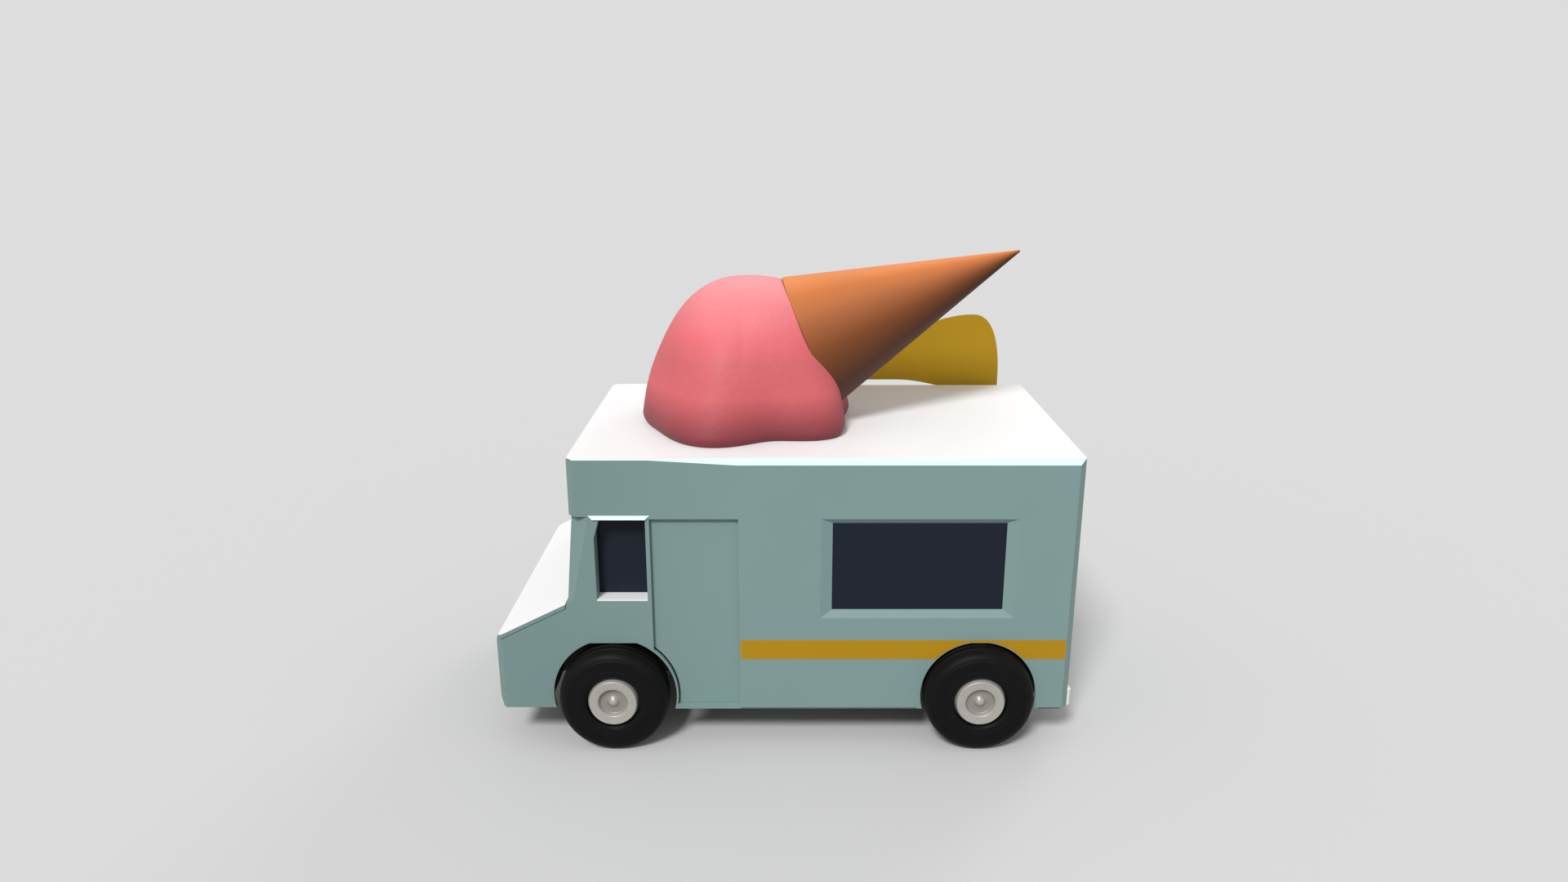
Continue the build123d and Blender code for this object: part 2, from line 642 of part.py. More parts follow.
# Rear frame: bevelled corner posts, header and sill round the rear doors, with hinge barrels
rear_open_half = 620
rear_open_z = (650, 1990)
rear_door_skin = 40
hinge_radius = 9
hinge_x = tail_x - hinge_radius
hinge_y = rear_open_half - shut_gap / 2
hinge_leaf = 5
leaf_width = 60
hinge_half = 50            # half length of a door barrel
barrel_length = 40         # frame barrel that carries it
hinge_heights = (850, 1790)
tow_y = -700
tow_z = 360
tow_bore = 12
tow_sleeve = 24
with BuildPart() as rear_frame:
    block((tail_x, floor_rear_x), (-half_width, half_width), (sill_z, wall_top_z))
    chamfer(rear_frame.edges().filter_by(Axis.Z).group_by(Axis.X)[0], corner_bevel)
    block((tail_x - 1, floor_rear_x + 1), (-rear_open_half, rear_open_half), rear_open_z, mode=Mode.SUBTRACT)
    rod((tail_x - 1, tow_y, tow_z), (floor_rear_x + 1, tow_y, tow_z), tow_sleeve + skin_gap,
        mode=Mode.SUBTRACT)
    for _, sign in sides:
        for hinge_z in hinge_heights:
            foot = hinge_z - hinge_half - skin_gap
            rod((hinge_x, sign * hinge_y, foot - barrel_length), (hinge_x, sign * hinge_y, foot),
                hinge_radius)
            block((tail_x - hinge_leaf, tail_x), (sign * hinge_y, sign * (hinge_y + leaf_width)),
                  (foot - barrel_length, foot))
keep(rear_frame.part, "rear_frame")

# Rear doors: a pair hung on the corner posts, each with a window
rear_glass_y = (130, 490)
rear_glass_z = (1220, 1800)
rear_door_y = (shut_gap / 2, rear_open_half - shut_gap)
for side, sign in sides:
    with BuildPart() as rear_door:
        block((tail_x, tail_x + rear_door_skin), [sign * y for y in rear_door_y],
              (rear_open_z[0] + shut_gap, rear_open_z[1] - shut_gap))
        block((tail_x - 1, tail_x + rear_door_skin + 1), [sign * y for y in rear_glass_y], rear_glass_z,
              mode=Mode.SUBTRACT)
        for hinge_z in hinge_heights:
            rod((hinge_x, sign * hinge_y, hinge_z - hinge_half),
                (hinge_x, sign * hinge_y, hinge_z + hinge_half), hinge_radius)
            block((tail_x - hinge_leaf, tail_x), (sign * (hinge_y - leaf_width), sign * hinge_y),
                  (hinge_z - hinge_half, hinge_z + hinge_half))
    keep(rear_door.part, f"rear_door_{side}")
    with BuildPart() as rear_glass:
        block((tail_x + rear_door_skin, tail_x + rear_door_skin + pane),
              (sign * (rear_glass_y[0] - pane_lap), sign * (rear_glass_y[1] + pane_lap)),
              (rear_glass_z[0] - pane_lap, rear_glass_z[1] + pane_lap))
    keep(rear_glass.part, f"rear_glass_{side}")

# Roof: one panel whose bevelled edge fades out over the cab
bevel_end_x = 1000
bevel_end_share = 0.08


def roof_section(share):
    """Cross section of the roof with a given share of the full edge bevel, as y and z points"""
    run = roof_bevel_run * share
    rise = roof_bevel_rise * share
    half = [(half_width, wall_top_z), (half_width, roof_z - rise), (half_width - run, roof_z)]
    return half + [(-y, z) for y, z in reversed(half)]


with BuildPart() as roof_panel:
    with BuildSketch(Plane.YZ.offset(tail_x)):
        Polygon(*roof_section(1), align=None)
    extrude(amount=cab_seam_x - tail_x)
    with BuildSketch(Plane.YZ.offset(bevel_end_x)):
        Polygon(*roof_section(bevel_end_share), align=None)
    extrude(amount=header_front_x - bevel_end_x)
    with BuildSketch(Plane.YZ.offset(cab_seam_x)):
        Polygon(*roof_section(1), align=None)
    with BuildSketch(Plane.YZ.offset(bevel_end_x)):
        Polygon(*roof_section(bevel_end_share), align=None)
    loft()
    with BuildSketch(Plane.XY.offset(wall_top_z)):
        for _, sign in sides:
            for corner_x, inward in ((tail_x, corner_bevel), (header_front_x, -corner_bevel)):
                Polygon((corner_x, sign * half_width), (corner_x + inward, sign * half_width),
                        (corner_x, sign * (half_width - corner_bevel)), align=None)
    extrude(amount=roof_depth, mode=Mode.SUBTRACT)
keep(roof_panel.part, "roof_panel")

# Cab front: header over the windscreen, leaning pillars with a wide side facet, and the cowl
pillar_widths = (106, 150)                 # side to inner edge of a pillar at its foot and head
pillar_facets = (56, 90)                   # side to outer end of its front face at its foot and head
pillar_inner_y = [half_width - width for width in pillar_widths]
pillar_front_y = [half_width - facet for facet in pillar_facets]
header_foot_z = screen_head[1]
with BuildPart() as cab_front:
    with BuildSketch(Plane.XY.offset(header_foot_z)):
        Polygon((header_front_x - header_depth, -half_width), (header_front_x, corner_bevel - half_width),
                (header_front_x, half_width - corner_bevel), (header_front_x - header_depth, half_width),
                align=None)
    extrude(amount=wall_top_z - header_foot_z)
    wing_line = [(x, bonnet_z(x) - wing_drop) for x in (pillar_foot_x, cowl_x)]
    for foot_line, half in ((wing_line, half_width),
                            ([(pillar_foot_x, dash_z), (cowl_x, dash_z)], inner_half)):
        with BuildSketch(across(-half, half)):
            Polygon(*foot_line, (cowl_x, bonnet_z(cowl_x)), screen_foot, (pillar_foot_x, screen_foot[1]),
                    align=None)
        extrude(amount=2 * half)
    for _, sign in sides:
        with BuildSketch(Plane.XY.offset(screen_foot[1])):
            Polygon((pillar_foot_x, sign * half_width), (screen_foot[0], sign * pillar_front_y[0]),
                    (screen_foot[0], sign * pillar_inner_y[0]), (pillar_foot_x, sign * pillar_inner_y[0]),
                    align=None)
        with BuildSketch(Plane.XY.offset(screen_head[1])):
            Polygon((pillar_head_x, sign * half_width), (screen_head[0], sign * pillar_front_y[1]),
                    (screen_head[0], sign * pillar_inner_y[1]), (pillar_head_x, sign * pillar_inner_y[1]),
                    align=None)
        loft(ruled=True)
keep(cab_front.part, "cab_front")

screen = 8
screen_set = 10            # glass behind the front face of the pillars
with BuildPart() as windscreen:
    for (edge_x, edge_z), edge_y in ((screen_foot, pillar_inner_y[0]), (screen_head, pillar_inner_y[1])):
        with BuildSketch(Plane.XY.offset(edge_z)):
            area(edge_x - screen_set - screen, edge_x - screen_set, skin_gap - edge_y, edge_y - skin_gap)
    loft(ruled=True)
keep(windscreen.part, "windscreen")

# Nose: upright front panel over a bumper band, with grille opening and lamp holes
bumper_top_z = 466
nose_panel_z = (470, 880)
nose_bevel = 18
nose_tuck = (26, 78)       # lower edge of the bumper drawn back, x and z
grille_half = 430
grille_z = (545, 780)
lamp_inset = 386           # side to the middle of a headlamp
lamp_y = half_width - lamp_inset
lamp_z = 662
lamp_radius = 100
tow_front_z = 410
# name, outline of the section in x and z
nose_sections = [
    ("nose_panel", [(nose_rear_x, nose_panel_z[0]), (nose_x, nose_panel_z[0]),
                    (nose_x, nose_panel_z[1] - nose_bevel), (nose_x - nose_bevel / 2, nose_panel_z[1]),
                    (nose_rear_x, nose_panel_z[1])]),
    ("front_bumper", [(nose_rear_x, nose_foot_z), (nose_x - nose_tuck[0], nose_foot_z),
                      (nose_x, nose_foot_z + nose_tuck[1]), (nose_x, bumper_top_z),
                      (nose_rear_x, bumper_top_z)]),
]
for name, outline in nose_sections:
    with BuildPart() as nose:
        with BuildSketch(across(-half_width, half_width)):
            Polygon(*outline, align=None)
        extrude(amount=2 * half_width)
        with BuildSketch(Plane.XY):
            for _, sign in sides:
                Polygon((nose_x, sign * half_width), (nose_x - corner_bevel, sign * half_width),
                        (nose_x, sign * (half_width - corner_bevel)), align=None)
        extrude(amount=nose_panel_z[1], mode=Mode.SUBTRACT)
        if name == "nose_panel":
            block((nose_rear_x - 1, nose_x + 1), (-grille_half, grille_half), grille_z, mode=Mode.SUBTRACT)
            for _, sign in sides:
                rod((nose_rear_x - 1, sign * lamp_y, lamp_z), (nose_x + 1, sign * lamp_y, lamp_z),
                    lamp_radius, mode=Mode.SUBTRACT)
        else:
            rod((nose_rear_x - 1, tow_y, tow_front_z), (nose_x + 1, tow_y, tow_front_z), tow_bore,
                mode=Mode.SUBTRACT)
    keep(nose.part, name)

# Grille: level slats on three uprights, set inside the opening of the nose
slat_count = 7
slat_height = 15
slat_set = (44, 10)        # back and front of a slat behind the nose
upright_set = (56, 40)
slat_x = (nose_x - slat_set[0], nose_x - slat_set[1])
upright_x = (nose_x - upright_set[0], nose_x - upright_set[1])
upright_width = 18
grille_room = grille_half - skin_gap
slat_pitch = (grille_z[1] - grille_z[0] - slat_height) / slat_count
with BuildPart() as grille:
    for place in range(slat_count):
        slat_foot = grille_z[0] + slat_pitch * (place + 0.5)
        block(slat_x, (-grille_room, grille_room), (slat_foot, slat_foot + slat_height))
    for place in (-1, 0, 1):
        upright_y = place * (grille_room - upright_width / 2)
        block(upright_x, (upright_y - upright_width / 2, upright_y + upright_width / 2),
              (grille_z[0] + skin_gap, grille_z[1] - skin_gap))
keep(grille.part, "grille")

# Headlamps: round, with a domed lens that stays inside the nose's face
lens_rise = 24
lens_set = 4               # lamp inside the nose, front and back
lens_bend = (0.72, 0.4)    # share of the radius at the bends of the dome
lens_height = (0.5, 0.87)  # share of its height there
lens_edge_x = nose_x - lens_rise - lens_set
with BuildPart() as headlamps:
    for _, sign in sides:
        rim = lamp_radius - skin_gap
        with BuildSketch(Plane(origin=(0, sign * lamp_y, lamp_z), x_dir=(1, 0, 0), z_dir=(0, 0, 1))):
            Polygon((nose_rear_x + lens_set, 0), (nose_rear_x + lens_set, rim), (lens_edge_x, rim),
                    (lens_edge_x + lens_height[0] * lens_rise, lens_bend[0] * rim),
                    (lens_edge_x + lens_height[1] * lens_rise, lens_bend[1] * rim),
                    (lens_edge_x + lens_rise, 0), align=None)
        revolve(axis=Axis((0, sign * lamp_y, lamp_z), (1, 0, 0)))
keep(headlamps.part, "headlamps")

# Bonnet: sloping lid across the whole nose, hinged along its rear edge
bonnet_lip = 9
lip_land = 20              # flat of the lip on the nose
bonnet_rest = skin_gap     # lip above the nose it rests on
with BuildPart() as bonnet:
    with BuildSketch(across(-half_width, half_width)):
        lip_z = nose_panel_z[1] + bonnet_rest
        Polygon((bonnet_rear_x, bonnet_z(bonnet_rear_x)), bonnet_front, (bonnet_front[0] + bonnet_lip, lip_z),
                (nose_rear_x + lip_land, lip_z), (nose_rear_x, bonnet_z(nose_rear_x) - bonnet_drop),
                (bonnet_rear_x, bonnet_z(bonnet_rear_x) - bonnet_drop), align=None)
    extrude(amount=2 * half_width)
    with BuildSketch(Plane.XY.offset(nose_panel_z[0])):
        for _, sign in sides:
            Polygon((nose_x, sign * half_width), (nose_x - corner_bevel, sign * half_width),
                    (nose_x, sign * (half_width - corner_bevel)), align=None)
    extrude(amount=roof_z, mode=Mode.SUBTRACT)
keep(bonnet.part, "bonnet")

# Rear step bumper with a socket for a towing eye, and the tail lamps
rear_bumper_depth = 27
rear_bumper_inset = 46
rear_bumper_bevel = 16.2
rear_bumper_half = half_width - rear_bumper_inset
rear_bumper_z = (300, 430)
with BuildPart() as rear_bumper:
    block((tail_x - rear_bumper_depth, tail_x), (-rear_bumper_half, rear_bumper_half), rear_bumper_z)
    chamfer(rear_bumper.edges().filter_by(Axis.Z).group_by(Axis.X)[0], rear_bumper_bevel)
    rod((tail_x, tow_y, tow_z), (floor_rear_x, tow_y, tow_z), tow_sleeve)
    rod((tail_x - rear_bumper_depth - 1, tow_y, tow_z), (floor_rear_x + 1, tow_y, tow_z), tow_bore,
        mode=Mode.SUBTRACT)
keep(rear_bumper.part, "rear_bumper")

tail_lamp_inset = 106
tail_lamp_width = 130
tail_lamp_y = (half_width - tail_lamp_inset - tail_lamp_width, half_width - tail_lamp_inset)
tail_lamp_z = (880, 1160)
tail_lamp_depth = 16
tail_lamp_round = 40
with BuildPart() as tail_lamps:
    for _, sign in sides:
        block((tail_x - tail_lamp_depth, tail_x), [sign * y for y in tail_lamp_y], tail_lamp_z)
    fillet(tail_lamps.edges().filter_by(Axis.X), tail_lamp_round)
keep(tail_lamps.part, "tail_lamps")

# Scoop: a melting ball of ice cream seated on the roof, thick drips round its foot, hollow inside
scoop_x = 329
scoop_top_z = 3457
scoop_radius = 800
# radius added round the foot, one value for each corner of the scoop, from the front round by the left
drips = (45, 30, 70, 160, 60, -10, 170, 70, 40, 90, 30, 110, 60, 10, 120, 60)
# height over the roof as a share of the whole, share of the radius, share of the drips
scoop_levels = [
    (0, 0.97, 1), (0.09, 0.99, 0.9), (0.24, 0.95, 0.7), (0.53, 0.84, 0.38), (0.76, 0.66, 0.16),
    (0.93, 0.4, 0.03), (1, 0.1, 0),
]
cone_base = (-187, 0, 2931)
cone_rise = 23.7           # degrees above level, pointing to the rear
cone_base_radius = 554
cone_length = 1800
cone_tip_radius = 8
cone_axis = (-math.cos(math.radians(cone_rise)), 0, math.sin(math.radians(cone_rise)))
scoop_foot_z = roof_z + skin_gap
shell = 60                 # wall of the moulded scoop and cone, which are hollow


def scoop_form(inset, mode=Mode.ADD):
    """Ball of the scoop drawn in all round by an inset, lofted through its levels"""
    rise = scoop_top_z - inset - scoop_foot_z
    levels = []
    for height, share, drip_share in scoop_levels:
        corners = []
        for place, drip in enumerate(drips):
            reach = share * (scoop_radius - inset + drip_share * drip)
            turn = 2 * math.pi * place / len(drips)
            corners.append((scoop_x + reach * math.cos(turn), reach * math.sin(turn)))
        with BuildSketch(Plane.XY.offset(scoop_foot_z + rise * height)) as level:
            Polygon(*corners, align=None)
        levels.append(level.sketch)
    loft(levels, ruled=True, mode=mode)


cone_plane = Plane(origin=cone_base, z_dir=cone_axis)
upward = (Align.CENTER, Align.CENTER, Align.MIN)
with BuildPart() as scoop:
    scoop_form(0)
    scoop_form(shell, Mode.SUBTRACT)
    with Locations(cone_plane):
        Cone(cone_base_radius + skin_gap, cone_tip_radius + skin_gap, cone_length, align=upward,
             mode=Mode.SUBTRACT)
keep(scoop.part, "scoop")

cone_taper = (cone_base_radius - cone_tip_radius) / cone_length
with BuildPart() as cone:
    with Locations(cone_plane):
        Cone(cone_base_radius, cone_tip_radius, cone_length, align=upward)
        Cone(cone_base_radius - shell, 0, (cone_base_radius - shell) / cone_taper, align=upward,
             mode=Mode.SUBTRACT)
keep(cone.part, "cone")

# Roof sign: flat board with a waved lower edge, on studs outside the right edge of the roof
sign_gap = 4
sign_board = 22
sign_y = (-half_width - sign_gap - sign_board, -half_width - sign_gap)
sign_rear_x = -1978
sign_front_x = 165
sign_height = 700
crest_back = 300           # rear edge of the board to its crest
crest_slope = 0.16         # crest falling forward
crest_run = 800
crest_drop = 100           # rear corner below the crest
sign_lap = 50              # foot of the board below the top of the roof
sign_foot_z = roof_z - sign_lap
wave_x = (-1250, -742)     # stretch where the lower edge rises clear of the roof
wave_run = 260
wave_rise = 75
sign_bend = 200            # rounded upper corners
wave_bend = 160
stud_radius = 12
stud_inset = 200
stud_rise = 20             # studs above the underside of the roof
stud_z = roof_z - roof_depth + stud_rise
sign_crest_z = sign_foot_z + sign_height
sign_shoulder_z = sign_crest_z - crest_slope * crest_run
with BuildPart() as roof_sign:
    with BuildSketch(across(*sign_y)):
        Polygon((sign_rear_x, sign_foot_z), (wave_x[0] - wave_run, sign_foot_z),
                (wave_x[0], sign_foot_z + wave_rise), (wave_x[1], sign_foot_z + wave_rise),
                (wave_x[1] + wave_run, sign_foot_z), (sign_front_x, sign_foot_z),
                (sign_front_x, sign_shoulder_z), (sign_rear_x + crest_back + crest_run, sign_shoulder_z),
                (sign_rear_x + crest_back, sign_crest_z),
                (sign_rear_x, sign_crest_z - crest_drop), align=None)
        upper = vertices().filter_by_position(Axis.Y, roof_z + wave_rise, sign_crest_z + 1)
        fillet(upper, sign_bend)
        waved = vertices().filter_by_position(Axis.Y, sign_foot_z - 1, roof_z + wave_rise)
        fillet(waved.filter_by_position(Axis.X, sign_rear_x + 1, sign_front_x - 1), wave_bend)
    extrude(amount=sign_board)
    for stud_x in (sign_rear_x + stud_inset, wave_x[1] + 2 * wave_run, sign_front_x - stud_inset):
        rod((stud_x, sign_y[1], stud_z), (stud_x, -half_width, stud_z), stud_radius)
keep(roof_sign.part, "roof_sign")

# Dashboard, steering wheel and driver's seat
dash_top_z = 1180
dash_reach = 60            # dashboard behind the firewall
dash_round = 25
with BuildPart() as dashboard:
    block((firewall_x - dash_reach, pillar_foot_x), (-inner_half, inner_half), (dash_z, dash_top_z))
    fillet(dashboard.edges().filter_by(Axis.Y).group_by(Axis.X)[0], dash_round)
keep(dashboard.part, "dashboard")

driver_y = 480
wheel_centre = (990, driver_y, 1080)
column_slope = 35
rim_ring = 200
rim_bar = 15
rim_corners = 8
spoke = (34, 14)           # width and thickness
boss = (50, 30)            # radius and length
column_radius = 22
column_axis = Vector(math.cos(math.radians(column_slope)), 0, -math.sin(math.radians(column_slope)))
column_reach = (firewall_x - wheel_centre[0]) / column_axis.X
with BuildPart() as steering_wheel:
    with Locations(Plane(origin=wheel_centre, z_dir=column_axis)):
        Box(2 * rim_ring, *spoke)
        Cylinder(*boss)
    with BuildSketch(Plane(origin=wheel_centre, x_dir=(0, 1, 0), z_dir=column_axis.cross(Vector(0, 1, 0)))):
        with Locations((rim_ring, 0)):
            RegularPolygon(rim_bar, rim_corners)
    revolve(axis=Axis(wheel_centre, column_axis))
    rod(wheel_centre, tuple(Vector(*wheel_centre) + column_axis * column_reach), column_radius)
    split(bisect_by=Plane.YZ.offset(firewall_x), keep=Keep.BOTTOM)
keep(steering_wheel.part, "steering_wheel")

chair_half = 230
seat_y = (driver_y - chair_half, driver_y + chair_half)
seat_x = (430, 880)
seat_base_z = 780
seat_base_inset = (60, 50)  # along and across
cushion_round = 40
back_round = 60
cushion_depth = 110
back_depth = 110
back_top_z = 1420
with BuildPart() as seat_base:
    block((seat_x[0] + seat_base_inset[0], seat_x[1] - seat_base_inset[0]),
          (seat_y[0] + seat_base_inset[1], seat_y[1] - seat_base_inset[1]), (floor_z, seat_base_z))
keep(seat_base.part, "seat_base")
with BuildPart() as seat_cushion:
    block((seat_x[0] + back_depth, seat_x[1]), seat_y, (seat_base_z + skin_gap, seat_base_z + cushion_depth))
    fillet(seat_cushion.edges().filter_by(Axis.Z), cushion_round)
keep(seat_cushion.part, "seat_cushion")
with BuildPart() as seat_back:
    block((seat_x[0], seat_x[0] + back_depth - 1), seat_y, (seat_base_z + skin_gap, back_top_z))
    fillet(seat_back.edges().filter_by(Axis.X), back_round)
keep(seat_back.part, "seat_back")

# Counters under the serving windows: a worktop on a cabinet and an end panel
counter_x = (-1690, -290)
counter_depth = 440
counter_y = (inner_half - pane - counter_depth, inner_half - pane)
counter_z = (1050, 1090)
cabinet_gap = 10           # cabinet in front of the floor's step
panel_gap = 40             # end panel beside the wheel housing
cabinet_x = (step_x + cabinet_gap, counter_x[1])
cabinet_outer_y = door_y[0] - shut_gap
end_panel = 25
with BuildPart() as service_counters:
    for _, sign in sides:
        block(counter_x, [sign * y for y in counter_y], counter_z)
        block(cabinet_x, (sign * counter_y[0], sign * cabinet_outer_y), (floor_z, counter_z[0]))
        block((counter_x[0], counter_x[0] + end_panel),
              (sign * counter_y[0], sign * (rear_housing_inner_y - panel_gap)), (high_floor_z, counter_z[0]))
keep(service_counters.part, "service_counters")

# Fuel tank hung under the floor, and the exhaust on straps on the other side
tank_x = (-830, -180)
tank_gap = 45              # beside the rail
tank_width = 380
tank_y = (rail_outer + tank_gap, rail_outer + tank_gap + tank_width)
tank_foot_z = 240
tank_round = 45
tank_z = (tank_foot_z, floor_z - floor_depth)
with BuildPart() as fuel_tank:
    block(tank_x, tank_y, tank_z)
    fillet(fuel_tank.edges().filter_by(Axis.X), tank_round)
keep(fuel_tank.part, "fuel_tank")

pipe_radius = 26
silencer_radius = 62
exhaust_gap = 205          # beside the other rail
exhaust_y = -rail_outer - exhaust_gap
exhaust_z = 325
exhaust_x = (900, -860)
silencer_x = (250, -350)
strap = 20
pipe_strap = 60            # strap from the end of the pipe
silencer_strap = 40        # strap from the end of the silencer
with BuildPart() as exhaust:
    rod((exhaust_x[0], exhaust_y, exhaust_z), (exhaust_x[1], exhaust_y, exhaust_z), pipe_radius)
    rod((silencer_x[0], exhaust_y, exhaust_z), (silencer_x[1], exhaust_y, exhaust_z), silencer_radius)
    rod((exhaust_x[1] + pipe_radius, exhaust_y, exhaust_z),
        (exhaust_x[1] + pipe_radius, shut_gap - inner_half, exhaust_z), pipe_radius)
    for strap_x in (exhaust_x[0] - pipe_strap, silencer_x[0] - silencer_strap, silencer_x[1] + silencer_strap,
                    exhaust_x[1] + pipe_strap):
        block((strap_x - strap, strap_x + strap), (exhaust_y - strap / 2, exhaust_y + strap / 2),
              (exhaust_z, floor_z - floor_depth))
keep(exhaust.part, "exhaust")
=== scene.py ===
import json

import bmesh
import bpy
import numpy as np
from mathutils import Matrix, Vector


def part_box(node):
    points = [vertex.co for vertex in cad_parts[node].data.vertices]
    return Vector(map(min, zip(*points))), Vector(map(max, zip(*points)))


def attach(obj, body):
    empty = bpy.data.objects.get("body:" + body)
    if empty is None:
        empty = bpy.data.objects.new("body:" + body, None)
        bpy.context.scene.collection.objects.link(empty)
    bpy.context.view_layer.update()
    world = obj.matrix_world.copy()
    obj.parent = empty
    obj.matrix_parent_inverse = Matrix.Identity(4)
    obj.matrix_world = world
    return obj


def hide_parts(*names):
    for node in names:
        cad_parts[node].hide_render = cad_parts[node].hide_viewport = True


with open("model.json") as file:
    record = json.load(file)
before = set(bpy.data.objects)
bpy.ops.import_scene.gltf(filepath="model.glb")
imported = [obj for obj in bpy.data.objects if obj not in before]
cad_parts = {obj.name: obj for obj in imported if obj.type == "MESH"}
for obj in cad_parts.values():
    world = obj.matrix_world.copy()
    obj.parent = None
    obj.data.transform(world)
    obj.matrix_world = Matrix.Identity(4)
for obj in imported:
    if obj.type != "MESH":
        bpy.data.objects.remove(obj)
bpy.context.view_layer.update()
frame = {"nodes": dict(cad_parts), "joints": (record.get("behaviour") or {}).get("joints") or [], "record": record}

# Frame, springs, propeller shaft, tank, firewall and wheel housings: rolled and pressed steel.
# They are bolted together and dipped in black. The coat is thin and dusty, so its colour and gloss drift.
cloud_detail = 5.0
cloud_span = (0.3, 0.7)    # part of the cloud noise over which the colour drifts
gloss_drift = 0.15
grain_detail = 3.0


def pigment(code):
    """Linear red, green and blue of a six-figure screen colour: a straight toe, then a power curve"""
    toe, slope, shift, power = 0.04045, 12.92, 0.055, 2.4
    share = np.array([int(code[place:place + 2], 16) for place in (0, 2, 4)]) / 255
    return np.where(share <= toe, share / slope, ((share + shift) / (1 + shift)) ** power)


def rgba(colour):
    """Colour as the four numbers that a socket takes"""
    return (*np.clip(colour, 0, 1), 1.0)


def finish(name, code, gloss, drift=0.06, cloud=3.0, grain=120.0, lift=0.0002, metal=0.0, shine=0.5):
    """Painted, moulded or cast surface.

    The colour runs from a little under the pigment to a little over it on a cloud noise, the roughness
    follows the same cloud, and a fine noise lifts the surface by a fraction of a millimetre.
    """
    material = bpy.data.materials.new(name)
    material.use_nodes = True
    nodes, links = material.node_tree.nodes, material.node_tree.links
    shader = nodes["Principled BSDF"]
    shader.inputs["Metallic"].default_value = metal
    shader.inputs["Specular IOR Level"].default_value = shine
    place = nodes.new("ShaderNodeTexCoord")
    place.name = "place"
    clouds = nodes.new("ShaderNodeTexNoise")
    clouds.inputs["Scale"].default_value = cloud
    clouds.inputs["Detail"].default_value = cloud_detail
    links.new(place.outputs["Object"], clouds.inputs["Vector"])
    tint = nodes.new("ShaderNodeValToRGB")
    tint.name = "tint"
    for stop, position, change in zip(tint.color_ramp.elements, cloud_span, (-drift, drift)):
        stop.position = position
        stop.color = rgba(pigment(code) * (1 + change))
    links.new(clouds.outputs["Fac"], tint.inputs["Fac"])
    links.new(tint.outputs["Color"], shader.inputs["Base Color"])
    rough = nodes.new("ShaderNodeMapRange")
    rough.inputs["To Min"].default_value = gloss * (1 - gloss_drift)
    rough.inputs["To Max"].default_value = gloss * (1 + gloss_drift)
    links.new(clouds.outputs["Fac"], rough.inputs["Value"])
    links.new(rough.outputs["Result"], shader.inputs["Roughness"])
    specks = nodes.new("ShaderNodeTexNoise")
    specks.inputs["Scale"].default_value = grain
    specks.inputs["Detail"].default_value = grain_detail
    links.new(place.outputs["Object"], specks.inputs["Vector"])
    bump = nodes.new("ShaderNodeBump")
    bump.name = "bump"
    bump.inputs["Distance"].default_value = lift
    links.new(specks.outputs["Fac"], bump.inputs["Height"])
    links.new(bump.outputs["Normal"], shader.inputs["Normal"])
    return material


def spray(node, material):
    """Give one solid its finish"""
    for holder in frame["nodes"][node].material_slots:
        holder.material = material


def dress(slot, material):
    """Give every solid of one slot of the record its finish"""
    for row in frame["record"]["subparts"]:
        if row["material_slot"] == slot:
            spray(row["node"], material)


dress("frame_black", finish("chassis_black", "16181a", gloss=0.6, drift=0.25, cloud=6.0, lift=0.0004))

# Axles, knuckles, engine and gearbox: sand-cast iron, left rough and oily grey.
# The track rod, door tracks, exhaust and counters are drawn or folded steel with a dull sheen.
cast_iron = finish("cast_iron", "4c4f50", gloss=0.62, drift=0.2, cloud=9.0, grain=260.0, lift=0.0012,
                   metal=0.6)
dress("cast_metal", cast_iron)
drawn_steel = finish("drawn_steel", "8b8d8e", gloss=0.38, drift=0.12, cloud=14.0, grain=420.0, metal=0.9)
dress("bare_steel", drawn_steel)

# Tyres: fat moulded rubber with a nearly smooth tread, cured in one mould and pressed on the rim.
# Three shallow rings run round the tread and two fine ribs round each flank.
corners = ("front_left", "front_right", "rear_left", "rear_right")
hubs = {joint["child"]: joint["pos_m"] for joint in frame["joints"] if joint.get("continuous")}
tyre_section = (0.3058, 0.1112, 0.1435)    # middle radius, half height and half width
tread_power = 3.0          # how square the section is towards the tread
bead_power = 6.0           # and towards the bead
outer_part = (0.65, 0.9)   # share of a half width or height over which its outer face begins
tread_rings = (-0.055, 0.0, 0.055)
ring_width = 0.005
ring_depth = 0.005
flank_ribs = (0.262, 0.348)
rib_width = 0.005
rib_height = 0.0025
bell_power = 4
tyre_points = 280
tyre_steps = 120
weld = 1e-6


def full_turn(steps):
    """Even angles once round, without the last one, which would meet the first"""
    return np.linspace(0, 2 * np.pi, steps, endpoint=False)


def skin(name, points, around=False, along=False):
    """Mesh over a grid of points with one quad to a cell.

    A way of the grid that is closed runs on from its last row to its first.
    """
    rows, columns = points.shape[:2]
    index = np.arange(rows * columns).reshape(rows, columns)
    if along:
        index = np.vstack([index, index[:1]])
    if around:
        index = np.hstack([index, index[:, :1]])
    quads = np.stack([index[:-1, :-1], index[1:, :-1], index[1:, 1:], index[:-1, 1:]], -1).reshape(-1, 4)
    mesh = bpy.data.meshes.new(name)
    mesh.from_pydata(points.reshape(-1, 3).tolist(), [], quads.tolist())
    shell = bmesh.new()
    shell.from_mesh(mesh)
    bmesh.ops.remove_doubles(shell, verts=shell.verts, dist=weld)
    bmesh.ops.recalc_face_normals(shell, faces=shell.faces)
    shell.to_mesh(mesh)
    shell.free()
    return mesh


